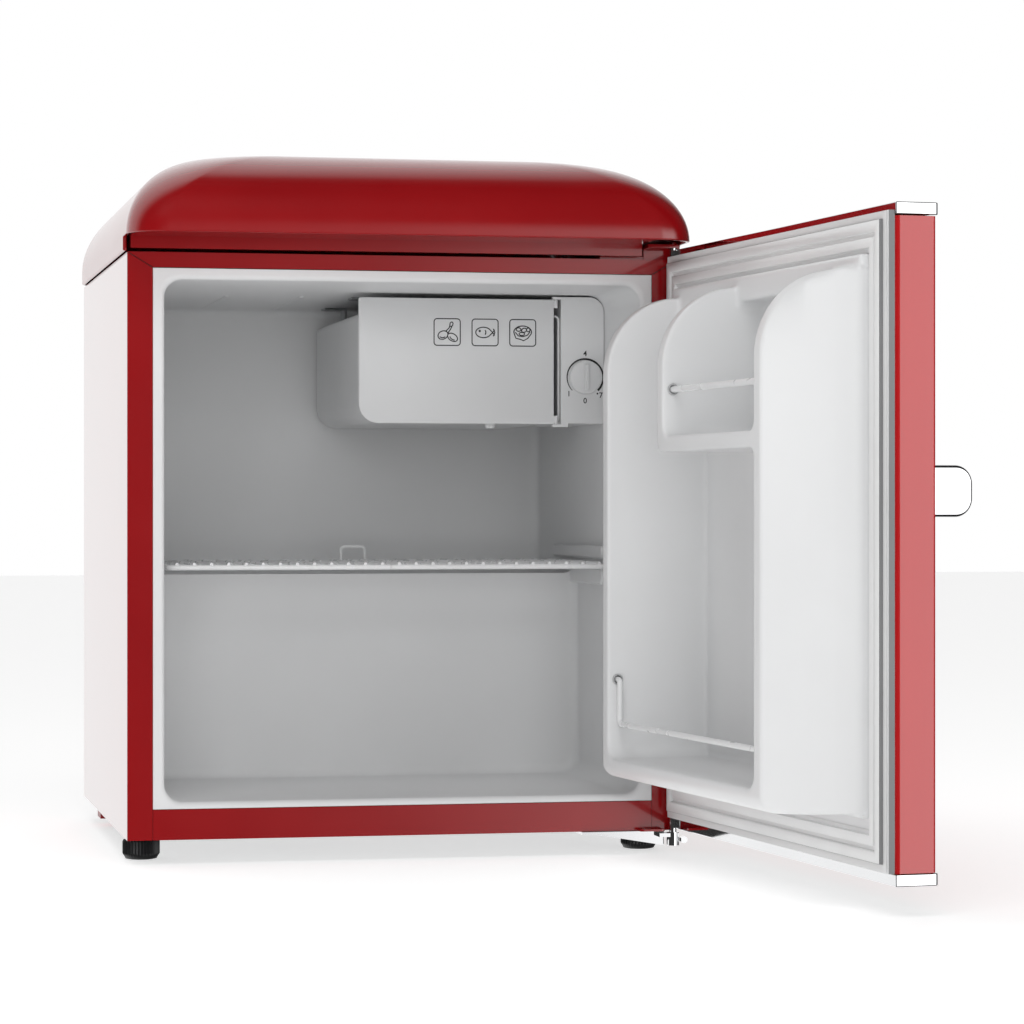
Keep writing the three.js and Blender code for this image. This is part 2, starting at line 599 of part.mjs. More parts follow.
function makeDoorPanel() {
  const { half, front, back, sheet, round } = DOOR;
  const low = DOOR.low + TRIM.height + GAP;
  const high = DOOR.high - TRIM.height + GAP - 1;
  const outline = new THREE.Shape();
  outline.moveTo(-half, back);
  outline.lineTo(-half, front + round);
  outline.absarc(-half + round, front + round, round, Math.PI, Math.PI * 1.5, false);
  outline.lineTo(half - round, front);
  outline.absarc(half - round, front + round, round, Math.PI * 1.5, Math.PI * 2, false);
  outline.lineTo(half, back);
  const inside = box(-half + sheet, half - sheet, front + sheet, back + 1, low - 1, high + 1);
  const corners = [
    box(-half, -half + 3, front, front + 3, low - 1, high + 1),
    box(half - 3, half, front, front + 3, low - 1, high + 1),
  ];
  let skin = extrudeZ(outline, low, high).subtract(cut(inside, ...corners));
  const side = PLATEAU.half + 1;
  const floor = POCKET.back - POCKET.wall - GAP;
  const pocket = box(-side, side, floor, back + 1, PLATEAU.low - 1, PLATEAU.high + 1);
  let foam = box(-half + 3.2, half - 3.2, front + 3.2, back, low, high).subtract(pocket);
  for (const [, z0, z1] of BUSHES) {
    const space = bushSpace(GAP, z0, z1);
    const pinSpace = rod('z', HINGE.pin + 1, z0 - 20, z1 + 20, HINGE.x, HINGE.y);
    const pinHole = rod('z', HINGE.pin + 0.5, z0 - 20, z1 + 20, HINGE.x, HINGE.y);
    skin = cut(skin, space, pinHole);
    foam = cut(foam, space, pinSpace);
  }
  place('door_skin', skin, RED, door);
  place('door_foam', foam, FOAM, door);
}

function makeDoorTrims() {
  const { half, front, back, low, high } = DOOR;
  const pinHole = rod('z', HINGE.pin + 0.5, -5, 480, HINGE.x, HINGE.y);
  const ends = [
    ['trim_bottom', low, low + TRIM.height, low + 2.5, low + TRIM.height + 1],
    ['trim_top', high - TRIM.height, high, high - TRIM.height - 1, high - 2.5],
  ];
  for (const [name, z0, z1, hollow0, hollow1] of ends) {
    const shell = cut(
      box(-half - 0.6, half + 0.6, front - TRIM.proud, back, z0, z1),
      box(-half + 2, half - 8, front + 2, back - 2, hollow0, hollow1),
      pinHole,
    );
    place(name, shell, CHROME, door);
  }
}

function cheekOutline() {
  const { rim, low, arc, arcZ } = CHEEK;
  const shape = new THREE.Shape();
  const root = -6;
  shape.moveTo(root, low);
  shape.lineTo(rim - 10, low);
  shape.absarc(rim - 10, low + 10, 10, -Math.PI / 2, 0, false);
  shape.lineTo(rim, arcZ);
  shape.absarc(rim - arc, arcZ, arc, 0, Math.PI / 2, false);
  shape.lineTo(root, arcZ + arc);
  return shape;
}

// The cheek on the free side widens in a curve from its rim to the table behind it.
function makeFreeCheek() {
  const { rim, thick, free } = CHEEK;
  const { edge, foot, waist, shoulder, shoulderY } = FLARE;
  const root = -6;
  const plan = new THREE.Shape();
  plan.moveTo(free + thick, root);
  plan.lineTo(foot, root);
  plan.lineTo(waist, PLATEAU.face - 0.5);
  plan.lineTo(shoulder, shoulderY);
  plan.quadraticCurveTo(free - 10, shoulderY + 14, free, rim);
  plan.lineTo(free + thick, rim);
  const tall = extrudeX(cheekOutline(), edge, free + thick, 8);
  return tall.intersect(extrudeZ(plan, 0, DOOR.high));
}

function makeDoorLiner() {
  const { half, back, face, low, high } = DOOR_LINER;
  const { thick, rim, hinge, middle, free } = CHEEK;
  const flange = box(-half, half, back, face, low, high);
  const floor = POCKET.back - POCKET.wall;
  const block = box(-PLATEAU.half, PLATEAU.half, floor, PLATEAU.face, PLATEAU.low, PLATEAU.high);
  const cheeks = [hinge, middle].map((x) => extrudeX(cheekOutline(), x, x + thick, 8));
  const under = box(middle - 1, middle + thick + 1, PLATEAU.face - 4, rim + 5, CHEEK.low - 5, UPPER_BIN.low);
  const middleCheek = cheeks[1].subtract(under);
  const lowerFloor = box(free, hinge + thick, 0, rim, CHEEK.low, POCKET.low);
  const upperFloor = box(free, middle + thick, 0, rim, UPPER_BIN.low, UPPER_BIN.high);
  let liner = union(flange, block, cheeks[0], middleCheek, makeFreeCheek(), lowerFloor, upperFloor);
  const left = free + thick;
  const pockets = [
    box(middle + thick, hinge, POCKET.back, rim + 5, POCKET.low, POCKET.high),
    box(left, hinge, POCKET.back, rim + 5, POCKET.low, UPPER_BIN.low),
    box(left, middle, POCKET.back, rim + 5, UPPER_BIN.high, POCKET.high),
  ];
  const { y, barZ, bar, wireZ, dropZ, wire, hole, seat } = BIN_WIRE;
  const holes = [
    rod('x', hole, left - seat - 2, middle + seat + 2, y, barZ, 12),
    rod('x', hole, left - seat - 2, hinge + seat + 2, y, wireZ, 12),
  ];
  liner = cut(liner, ...pockets, ...holes);
  for (const [, z0, z1] of BUSHES) {
    liner = liner.subtract(bushSpace(GAP, z0 - 2, z1 + 4));
    liner = liner.subtract(rod('z', HINGE.pin + 0.5, z0 - 20, z1 + 20, HINGE.x, HINGE.y));
  }
  place('door_liner', liner, WHITE, door);
  place('upper_bin_bar', rod('x', bar, left - seat, middle + seat, y, barZ, 12), WIRE, door);
  const bends = [[hinge + seat, y, wireZ], [hinge - 5, y, wireZ], [hinge - 5, y, dropZ]];
  bends.push([left + 5, y, dropZ], [left + 5, y, wireZ], [left - seat, y, wireZ]);
  place('lower_bin_wire', bentTube(bends, wire, 4, 8), WIRE, door);
}

function makeGasket() {
  const { half, low, high, band, bandZ, face } = GASKET;
  const seat = DOOR_LINER.face + GAP;
  const frame = (inset, y0, y1, over) => {
    const x = half - inset * band;
    const z = inset * bandZ;
    return box(-x, x, y0 - over, y1 + over, low + z, high - z);
  };
  const ring = (from, to, y0, y1) => frame(from, y0, y1, 0).subtract(frame(to, y0, y1, 1));
  const gasket = union(
    ring(0, 1, seat, seat + 1.2),
    ring(0, 0.31, seat + 1, face),
    ring(0.61, 0.93, seat + 1, face),
  );
  place('door_gasket', gasket, GREY_RUBBER, door);
}

function makeHandle() {
  const { z, half, depth, from, to, post, strap } = HANDLE;
  const base = DOOR.front - GAP;
  const outline = roundedOutline(base - depth, base, z - half, z + half, [13, 2, 2, 13]);
  const gap = box(from + post, to - post, base - depth + strap, base + 1, z - half - 1, z + half + 1);
  place('handle', extrudeX(outline, from, to, 6).subtract(gap), CHROME, door);
}

function makeBushes() {
  for (const [name, z0, z1] of BUSHES) {
    const bore = rod('z', HINGE.pin + 0.1, z0 - 1, z1 + 1, HINGE.x, HINGE.y, 24);
    place(`door_bush_${name}`, bushSpace(0, z0, z1).subtract(bore), WHITE, door);
  }
}

// ---- shelf ----
function makeShelf() {
  const { front, back, half, z, rail, wire, wires, pitch } = SHELF;
  let shelf = union(rod('x', rail, -half, half, front, z, 6), rod('x', rail, -half, half, back, z, 6));
  for (const sign of [-1, 1]) {
    shelf = shelf.add(rod('y', rail, front, back, sign * (half - rail), z, 6));
  }
  shelf = shelf.add(rod('x', rail, -half + 1, half - 1, (front + back) / 2, z, 6));
  const first = (-(wires - 1) * pitch) / 2;
  for (let i = 0; i < wires; i++) {
    const x = first + i * pitch;
    shelf = shelf.add(rod('y', wire, front - 1, back + 1, x, z + rail + wire - 1, 4));
  }
  const loop = [[-10.5, back, z], [-10.5, back, z + 15], [10.5, back, z + 15], [10.5, back, z]];
  place('wire_shelf', shelf.add(bentTube(loop, 1.5, 4, 6)), WIRE);
}

makeWrapper();
makeFrontFrame();
makeLiner();
makeInsulation();
makeBack();
makeCondenser();
makeCap();
makeFrontStrip();
makeIcebox();
makeIceboxDoor();
makeHousing();
makeThermostat();
makeCompressor();
makeCompressorMount();
makeCompressorFittings();
makeFeet();
makeLowerHinge();
makeUpperHinge();
makeShelf();
makeDoorPanel();
makeDoorTrims();
makeDoorLiner();
makeGasket();
makeHandle();
makeBushes();

door.position.set(-HINGE.x, -HINGE.y, 0);
doorPivot.position.set(HINGE.x, HINGE.y, 0);
doorPivot.rotation.z = THREE.MathUtils.degToRad(DOOR_OPEN);
doorPivot.add(door);
cabinet.add(doorPivot);

const group = new THREE.Group();
group.add(cabinet);
group.updateMatrixWorld(true);
const bounds = new THREE.Box3().setFromObject(group, true);
cabinet.position.set(-(bounds.min.x + bounds.max.x) / 2, -(bounds.min.y + bounds.max.y) / 2, -bounds.min.z);
group.updateMatrixWorld(true);

export default group;
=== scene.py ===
"""Looks of the compact refrigerator: fine meshes, materials, light and camera round the CAD frame.

Pieces are drawn in millimetres in the cabinet's own axes: X = 0 at its middle, Y = 0 at its
front face, Z = 0 at its bottom edge, the door closed. place() moves them into the frame.
"""
import json
import math

import bmesh
import bpy
from mathutils import Matrix, Vector


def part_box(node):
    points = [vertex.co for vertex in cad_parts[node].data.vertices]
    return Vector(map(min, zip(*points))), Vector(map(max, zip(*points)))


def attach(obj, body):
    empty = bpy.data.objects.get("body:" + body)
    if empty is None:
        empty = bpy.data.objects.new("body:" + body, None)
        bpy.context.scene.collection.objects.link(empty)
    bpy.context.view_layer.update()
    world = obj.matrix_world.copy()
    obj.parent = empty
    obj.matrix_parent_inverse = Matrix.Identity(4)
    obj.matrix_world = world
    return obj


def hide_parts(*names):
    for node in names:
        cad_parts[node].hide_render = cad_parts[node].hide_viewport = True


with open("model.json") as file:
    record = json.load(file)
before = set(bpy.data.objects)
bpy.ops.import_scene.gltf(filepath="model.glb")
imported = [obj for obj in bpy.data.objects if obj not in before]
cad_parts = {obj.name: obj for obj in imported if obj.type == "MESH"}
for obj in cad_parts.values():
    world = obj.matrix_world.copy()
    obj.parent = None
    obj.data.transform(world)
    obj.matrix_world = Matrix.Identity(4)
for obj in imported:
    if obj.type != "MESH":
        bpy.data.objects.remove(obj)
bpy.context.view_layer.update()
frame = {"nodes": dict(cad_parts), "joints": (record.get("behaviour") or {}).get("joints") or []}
nodes = frame["nodes"]

# ---- the cabinet's axes, from the frame ----
MM = 0.001
wrapper_low, wrapper_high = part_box("outer_wrapper")
face_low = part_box("front_frame_left")[0]
ORIGIN = Vector(((wrapper_low.x + wrapper_high.x) / 2, face_low.y, wrapper_low.z))
joints = {joint["name"]: joint for joint in frame["joints"]}
door_joint = joints["door_hinge"]
OPEN = -math.radians(door_joint["range_deg"][0])
PIVOT = (Vector(door_joint["pos_m"]) - ORIGIN) / MM
CABINET = Matrix.Translation(ORIGIN) @ Matrix.Scale(MM, 4)
SWING = Matrix.Translation(PIVOT) @ Matrix.Rotation(OPEN, 4, "Z") @ Matrix.Translation(-PIVOT)
DOOR = CABINET @ SWING


def span(node, body="cabinet"):
    """Lowest and highest corner of a CAD node in the cabinet's millimetres, its door closed."""
    back = (DOOR if body == "door" else CABINET).inverted()
    points = [back @ vertex.co for vertex in nodes[node].data.vertices]
    low = Vector([min(p[i] for p in points) for i in range(3)])
    high = Vector([max(p[i] for p in points) for i in range(3)])
    return low, high


# ---- materials ----
def new_material(name, color, rough, metal=0.0, coat=0.0, spec=0.5):
    material = bpy.data.materials.new(name)
    material.use_nodes = True
    shader = material.node_tree.nodes["Principled BSDF"]
    shader.inputs["Base Color"].default_value = (*color, 1)
    shader.inputs["Metallic"].default_value = metal
    shader.inputs["Coat Weight"].default_value = coat
    shader.inputs["Coat Roughness"].default_value = 0.04
    shader.inputs["Specular IOR Level"].default_value = spec
    shader.inputs["Roughness"].default_value = rough
    return material


def noise_node(tree, scale, detail=3.0, stretch=None):
    texture = tree.nodes.new("ShaderNodeTexNoise")
    texture.inputs["Scale"].default_value = scale
    texture.inputs["Detail"].default_value = detail
    coords = tree.nodes.new("ShaderNodeTexCoord")
    if stretch:
        mapping = tree.nodes.new("ShaderNodeMapping")
        mapping.inputs["Scale"].default_value = stretch
        tree.links.new(coords.outputs["Object"], mapping.inputs["Vector"])
        tree.links.new(mapping.outputs["Vector"], texture.inputs["Vector"])
    else:
        tree.links.new(coords.outputs["Object"], texture.inputs["Vector"])
    return texture


def vary(material, color, deep, color_scale, rough, rough_scale, grain_scale, grain, stretch=None):
    """Slow colour drift, uneven gloss and a fine moulded or sprayed grain."""
    tree = material.node_tree
    shader = tree.nodes["Principled BSDF"]
    drift = noise_node(tree, color_scale)
    ramp = tree.nodes.new("ShaderNodeValToRGB")
    ramp.color_ramp.elements[0].position = 0.3
    ramp.color_ramp.elements[1].position = 0.7
    ramp.color_ramp.elements[0].color = (*deep, 1)
    ramp.color_ramp.elements[1].color = (*color, 1)
    tree.links.new(drift.outputs["Fac"], ramp.inputs["Fac"])
    tree.links.new(ramp.outputs["Color"], shader.inputs["Base Color"])
    gloss = noise_node(tree, rough_scale, 5.0, stretch)
    spread = tree.nodes.new("ShaderNodeMapRange")
    spread.inputs["To Min"].default_value = rough[0]
    spread.inputs["To Max"].default_value = rough[1]
    tree.links.new(gloss.outputs["Fac"], spread.inputs["Value"])
    tree.links.new(spread.outputs["Result"], shader.inputs["Roughness"])
    peel = noise_node(tree, grain_scale, 2.0, stretch)
    bump = tree.nodes.new("ShaderNodeBump")
    bump.inputs["Strength"].default_value = grain
    bump.inputs["Distance"].default_value = 0.0003
    tree.links.new(peel.outputs["Fac"], bump.inputs["Height"])
    tree.links.new(bump.outputs["Normal"], shader.inputs["Normal"])
    return material


bpy.context.scene.view_settings.view_transform = "Standard"


def make_materials():
    made = {}

    def add(name, color, deep, rough, grain_scale, grain, **shader):
        stretch = shader.pop("stretch", None)
        base = new_material(name, color, rough[0], **shader)
        made[name] = vary(base, color, deep, 9.0, rough, 35.0, grain_scale, grain, stretch)

    add("red_enamel", (0.30, 0.004, 0.006), (0.27, 0.003, 0.005), (0.10, 0.15), 900, 0.05, coat=0.9)
    # painted light: a brighter copy of the red enamel for the door skin, standing in for the stronger light on its
    # free edge
    add("red_enamel_lit_copy", (0.45, 0.008, 0.010), (0.42, 0.007, 0.009), (0.10, 0.15), 900, 0.05, coat=0.9)
    add("red_cap", (0.30, 0.004, 0.006), (0.27, 0.003, 0.005), (0.20, 0.27), 700, 0.05, coat=0.7)
    add("red_bracket", (0.36, 0.006, 0.010), (0.30, 0.004, 0.007), (0.28, 0.4), 1400, 0.12)
    add("liner_white", (0.74, 0.745, 0.75), (0.71, 0.715, 0.72), (0.36, 0.46), 1500, 0.10)
    add("door_liner_white", (0.78, 0.785, 0.79), (0.75, 0.755, 0.76), (0.30, 0.40), 1500, 0.08)
    add("trim_white", (0.74, 0.745, 0.75), (0.70, 0.705, 0.71), (0.26, 0.36), 1600, 0.08)
    add("wire_white", (0.82, 0.825, 0.83), (0.78, 0.785, 0.79), (0.22, 0.34), 1200, 0.02)
    # painted shade: the grey of the strips on the gasket's and liner flange's side walls
    add("gasket_shade_grey", (0.21, 0.213, 0.217), (0.19, 0.193, 0.197), (0.42, 0.55), 1800, 0.10)
    add("grommet_grey", (0.50, 0.505, 0.51), (0.44, 0.445, 0.45), (0.36, 0.48), 1600, 0.10)
    add("gasket_white", (0.80, 0.80, 0.80), (0.75, 0.75, 0.75), (0.36, 0.48), 1800, 0.12)
    add("foot_black", (0.012, 0.012, 0.013), (0.02, 0.02, 0.021), (0.38, 0.55), 1600, 0.25)
    add("rubber_black", (0.014, 0.014, 0.014), (0.022, 0.022, 0.022), (0.6, 0.8), 1500, 0.4)
    add("black_enamel", (0.010, 0.010, 0.011), (0.016, 0.016, 0.017), (0.25, 0.4), 700, 0.15)
    add("print_black", (0.015, 0.015, 0.016), (0.02, 0.02, 0.02), (0.4, 0.5), 2000, 0.1)
    # painted shade: the black of the sheet behind the face-strip seams, standing in for shade in the gaps
    add("seam_shade_black", (0.02, 0.02, 0.02), (0.03, 0.03, 0.03), (0.7, 0.85), 1500, 0.2)
    add("chrome_plate", (0.86, 0.865, 0.875), (0.82, 0.825, 0.835), (0.05, 0.09), 400, 0.01, metal=1.0)
    add("zinc_sheet", (0.48, 0.49, 0.50), (0.40, 0.41, 0.42), (0.32, 0.5), 260, 0.1, metal=1.0)
    add("aluminium_plate", (0.70, 0.71, 0.72), (0.62, 0.63, 0.64), (0.34, 0.48), 500, 0.15, metal=1.0,
        stretch=(0.2, 4, 4))
    add("copper_tube", (0.72, 0.32, 0.16), (0.56, 0.22, 0.10), (0.22, 0.4), 500, 0.1, metal=1.0)
    add("foam_yellow", (0.72, 0.60, 0.30), (0.60, 0.48, 0.22), (0.85, 0.95), 900, 0.9)
    return made


MAT = make_materials()

# ---- mesh helpers, all in the cabinet's millimetres ----
ARC = 10


def mesh_from(build):
    work = bmesh.new()
    build(work)
    bmesh.ops.recalc_face_normals(work, faces=work.faces)
    mesh = bpy.data.meshes.new("work")
    work.to_mesh(mesh)
    work.free()
    return mesh


def block(x0, x1, y0, y1, z0, z1):
    def build(work):
        size = Matrix.Diagonal((x1 - x0, y1 - y0, z1 - z0, 1))
        middle = Matrix.Translation(((x0 + x1) / 2, (y0 + y1) / 2, (z0 + z1) / 2))
        bmesh.ops.create_cube(work, size=1, matrix=middle @ size)
    return mesh_from(build)


def arc(cx, cy, radius, start, end, steps=ARC):
    turn = [math.radians(start + (end - start) * i / steps) for i in range(steps + 1)]
    return [(cx + radius * math.cos(a), cy + radius * math.sin(a)) for a in turn]


def rounded(x0, x1, y0, y1, radius, steps=ARC):
    """Outline with round corners. radius is one number, or four from the low corner round."""
    r0, r1, r2, r3 = radius if isinstance(radius, (tuple, list)) else [radius] * 4
    points = []
    for cx, cy, r, start in (
        (x0 + r0, y0 + r0, r0, 180),
        (x1 - r1, y0 + r1, r1, 270),
        (x1 - r2, y1 - r2, r2, 0),
        (x0 + r3, y1 - r3, r3, 90),
    ):
        points += arc(cx, cy, r, start, start + 90, steps) if r > 0 else [(cx, cy)]
    return points


def prism(outline, axis, low, high):
    """A flat outline pushed along X (outline in Y, Z), Y (outline in X, Z) or Z (outline in X, Y)."""
    def spot(a, b, depth):
        return {"x": (depth, a, b), "y": (a, depth, b), "z": (a, b, depth)}[axis]

    def build(work):
        ends = [[work.verts.new(spot(a, b, depth)) for a, b in outline] for depth in (low, high)]
        for ring in ends:
            work.faces.new(ring)
        count = len(outline)
        for i in range(count):
            j = (i + 1) % count
            work.faces.new((ends[0][i], ends[0][j], ends[1][j], ends[1][i]))
    return mesh_from(build)


def loft(rings, closed=False):
    """A skin through equal rings of points, with flat ends or, if closed, joined end to end."""
    def build(work):
        made = [[work.verts.new(point) for point in ring] for ring in rings]
        count = len(rings[0])
        pairs = list(zip(made, made[1:]))
        if closed:
            pairs.append((made[-1], made[0]))
        for lower, upper in pairs:
            for i in range(count):
                j = (i + 1) % count
                work.faces.new((lower[i], lower[j], upper[j], upper[i]))
        if not closed:
            work.faces.new(made[0])
            work.faces.new(made[-1])
    return mesh_from(build)


def lathe(profile, x, y, z=0.0, axis="z", steps=64):
    """A profile of (radius, height) turned round a line through the given point."""
    def spot(radius, height, angle):
        a, b = radius * math.cos(angle), radius * math.sin(angle)
        return {
            "z": (x + a, y + b, z + height),
            "y": (x + a, y + height, z + b),
            "x": (x + height, y + a, z + b),
        }[axis]

    turns = [2 * math.pi * i / steps for i in range(steps)]
    return loft([[spot(max(r, 0.01), h, a) for a in turns] for r, h in profile])


def bent(corners, radius, steps=6):
    """The corners joined by straight runs and round bends."""
    points = [Vector(corner) for corner in corners]
    route = [points[0]]
    for before, here, after in zip(points, points[1:], points[2:]):
        start = here + (before - here).normalized() * radius
        end = here + (after - here).normalized() * radius
        for i in range(steps + 1):
            t = i / steps
            route.append(start.lerp(here, t).lerp(here.lerp(end, t), t))
    route.append(points[-1])
    return route


def tube(route, radius, sides=16):
    """A round tube along a route of points, with flat ends."""
    rings = []
    side = None
    for i, point in enumerate(route):
        ahead = (Vector(route[min(i + 1, len(route) - 1)]) - Vector(route[max(i - 1, 0)])).normalized()
        if side is None:
            side = ahead.orthogonal().normalized()
        side = (side - ahead * side.dot(ahead)).normalized()
        other = ahead.cross(side)
        turns = [2 * math.pi * k / sides for k in range(sides)]
        rings.append([Vector(point) + side * radius * math.cos(a) + other * radius * math.sin(a) for a in turns])
    return loft(rings)


def joined(*meshes):
    """Several meshes as one, each keeping its own surface."""
    work = bmesh.new()
    for mesh in meshes:
        work.from_mesh(mesh)
    result = bpy.data.meshes.new("work")
    work.to_mesh(result)
    work.free()
    return result


def combine(base, tools, operation):
    """Joins or cuts meshes as solids."""
    scene = bpy.context.scene.collection
    body = bpy.data.objects.new("work", base)
    scene.objects.link(body)
    helpers = []
    for tool in tools:
        helper = bpy.data.objects.new("tool", tool)
        scene.objects.link(helper)
        helpers.append(helper)
        modifier = body.modifiers.new("cut", "BOOLEAN")
        modifier.operation = operation
        modifier.solver = "EXACT"
        modifier.object = helper
    bpy.context.view_layer.update()
    graph = bpy.context.evaluated_depsgraph_get()
    result = bpy.data.meshes.new_from_object(body.evaluated_get(graph), depsgraph=graph)
    for made in [body, *helpers]:
        bpy.data.objects.remove(made)
    work = bmesh.new()
    work.from_mesh(result)
    bmesh.ops.remove_doubles(work, verts=work.verts, dist=0.001)
    bmesh.ops.dissolve_limit(work, angle_limit=math.radians(1), verts=work.verts, edges=work.edges)
    work.to_mesh(result)
    work.free()
    return result


def cut(base, *tools):
    return combine(base, tools, "DIFFERENCE")


def fused(base, *tools):
    return combine(base, tools, "UNION")


def moulded(mesh, grain, rounds):
    """A mesh in millimetres as a moulding: even mesh, soft edges and fillets."""
    body = bpy.data.objects.new("work", mesh)
    bpy.context.scene.collection.objects.link(body)
    remesh = body.modifiers.new("remesh", "REMESH")
    remesh.mode = "VOXEL"
    remesh.voxel_size = grain
    relax = body.modifiers.new("relax", "SMOOTH")
    relax.factor = 0.5
    relax.iterations = rounds
    thin = body.modifiers.new("thin", "DECIMATE")
    thin.ratio = 0.35
    bpy.context.view_layer.update()
    graph = bpy.context.evaluated_depsgraph_get()
    result = bpy.data.meshes.new_from_object(body.evaluated_get(graph), depsgraph=graph)
    bpy.data.objects.remove(body)
    return result


def polygon(corners):
    """An outline of (a, b, radius) corners, each rounded by its radius."""
    points = []
    count = len(corners)
    for i, (a, b, radius) in enumerate(corners):
        here = Vector((a, b))
        before = Vector(corners[i - 1][:2]) - here
        after = Vector(corners[(i + 1) % count][:2]) - here
        if radius == 0:
            points.append((a, b))
            continue
        start, end = here + before.normalized() * radius, here + after.normalized() * radius
        centre = start + end - here
        for k in range(9):
            t = math.radians(90 * k / 8)
            spot = centre + (start - centre) * math.cos(t) + (end - centre) * math.sin(t)
            points.append(tuple(spot))
    return points


def place(name, mesh, body, material, replaces=(), where=CABINET, bevel=0.0, segments=3, sharp=35):
    """Makes a piece of a mesh drawn in the cabinet's millimetres."""
    mesh.name = name
    mesh.transform(where)
    mesh.materials.clear()
    mesh.materials.append(MAT[material])
    for face in mesh.polygons:
        face.use_smooth = True
    mesh.set_sharp_from_angle(angle=math.radians(sharp))
    piece = bpy.data.objects.new(name, mesh)
    bpy.context.scene.collection.objects.link(piece)
    if bevel:
        soften(piece, bevel, segments)
    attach(piece, body)
    if replaces:
        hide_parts(*replaces)
    return piece


def soften(piece, width, segments=3, angle=35):
    edge = piece.modifiers.new("edges", "BEVEL")
    edge.limit_method = "ANGLE"
    edge.angle_limit = math.radians(angle)
    edge.width = width * MM
    edge.segments = segments
    edge.miter_outer = "MITER_ARC"
    edge.use_clamp_overlap = True
    normals = piece.modifiers.new("normals", "WEIGHTED_NORMAL")
    normals.keep_sharp = True
    return piece


def dress(node, material, bevel=0.0, segments=2):
    """Gives a CAD node that stays in view its material and softer edges."""
    piece = nodes[node]
    piece.data.materials.clear()
    piece.data.materials.append(MAT[material])
    for face in piece.data.polygons:
        face.use_smooth = True
    piece.data.set_sharp_from_angle(angle=math.radians(35))
    if bevel:
        soften(piece, bevel, segments)


# ---- cabinet ----
def dress_cad_nodes():
    for name in ("outer_wrapper",):
        dress(name, "red_enamel", 0.9)
    for side in ("left", "right", "top", "bottom"):
        dress(f"front_frame_{side}", "red_enamel", 0.45)
    for name, width in (("top_front_strip", 0.8), ("upper_hinge_bracket", 0.5), ("door_stop_plate", 0.4),
                        ("rear_foot_left", 0.5), ("rear_foot_right", 0.5)):
        dress(name, "red_bracket" if "foot" in name else "red_enamel", width)
    for name in ("back_panel", "compressor_bay_panel", "base_pan", "compressor_mount", "thermostat_body",
                 "foot_nut_left", "foot_nut_right", "evaporator_hanger_front", "evaporator_hanger_rear"):
        dress(name, "zinc_sheet", 0.3)
    for name in ("foam_insulation", "door_foam"):
        dress(name, "foam_yellow", 0.5)
    for name in ("lower_hinge_bracket", "lower_hinge_pin", "lower_hinge_nut", "upper_hinge_pin"):
        dress(name, "chrome_plate", 0.35)
    for name in ("relay_cover", "cord_gland"):
        dress(name, "foot_black", 0.8, 3)
    for number in range(1, 5):
        dress(f"compressor_grommet_{number}", "rubber_black", 0.5)
    for side in ("left", "right"):
        dress(f"rear_pad_{side}", "rubber_black", 0.5)
    dress("compressor", "black_enamel")
    dress("evaporator_box", "trim_white", 0.3)
    dress("evaporator_drain_plug", "trim_white", 0.3)
    dress("thermostat_housing", "trim_white", 0.6, 3)
    dress("door_bush_lower", "trim_white", 0.4)
    dress("door_bush_upper", "trim_white", 0.4)
    dress("filter_drier", "copper_tube")
    dress("discharge_tube", "copper_tube")


def make_seam_shade_board():
    """Painted shade: a black sheet behind the face strips, so the seams between them read as dark shaded gaps."""
    shade_sheet = block(-222, 222, 1.3, 1.45, 0.3, 462.7)
    middle = block(-202.4, 202.4, 0, 3, 24.2, 450.9)
    place("seam_shade_board", cut(shade_sheet, middle), "cabinet", "seam_shade_black")


CAP_INSET = 84
CAP_WALL = 3
CAP_HOOD = 475


def cap_ring(level, shrink, low, high):
    """One level ring of the dome; level runs from 0 at the hood's edge to 1 on top."""
    t = level * math.pi / 2
    inset = CAP_INSET * (1 - math.cos(t)) + shrink
    z = CAP_HOOD + (high.z - CAP_HOOD) * math.sin(t)
    radius = 30 + 32 * (1 - math.cos(t)) - shrink / 2
    outline = rounded(low.x + inset, high.x - inset, low.y + inset, high.y - inset, radius, 14)
    return [(x, y, z) for x, y in outline]


def make_cap():
    low, high = span("top_cap")
    levels = [i / 26 for i in range(27)]

    def flat(ring, z):
        return [(x, y, z) for x, y, _ in ring]

    outer = [cap_ring(level, 0, low, high) for level in levels]
    inner = [[(x, y, z - CAP_WALL) for x, y, z in cap_ring(level, CAP_WALL, low, high)] for level in levels]
    skin = loft([flat(outer[0], low.z)] + outer)
    hollow = loft([flat(inner[0], low.z - 5)] + inner[1:])
    hood = block(low.x - 2, high.x + 2, low.y - 2, -0.6, low.z - 2, CAP_HOOD)
    mesh = cut(skin, hollow, hood)
    place("top_dome", mesh, "cabinet", "red_cap", ["top_cap"], bevel=1.2, segments=3)


# ---- cavity ----
WALL = 193
FLOOR = 30
CEILING = 442
STEP_Y = 225
STEP_Z = 205
REAR = 387


def cavity_solid(low_z, front, rear, flare):
    """A rounded tunnel along Y that flares at its mouth and rounds off at its far end."""
    corner = 14
    fillet = 9
    rings = []
    for i in range(7 if flare else 0):
        a = math.radians(90 * i / 6)
        grow = flare * (1 - math.sin(a))
        rings.append((grow, front + flare * (1 - math.cos(a))))
    if not flare:
        rings.append((0, front))
    for i in range(7):
        a = math.radians(90 * i / 6)
        rings.append((-fillet * (1 - math.cos(a)), rear - fillet + fillet * math.sin(a)))
    made = []
    for grow, y in rings:
        outline = rounded(-WALL - grow, WALL + grow, low_z - grow, CEILING + grow, corner + min(grow, 0) * 0.5)
        made.append([(x, y, z) for x, z in outline])
    return loft(made)


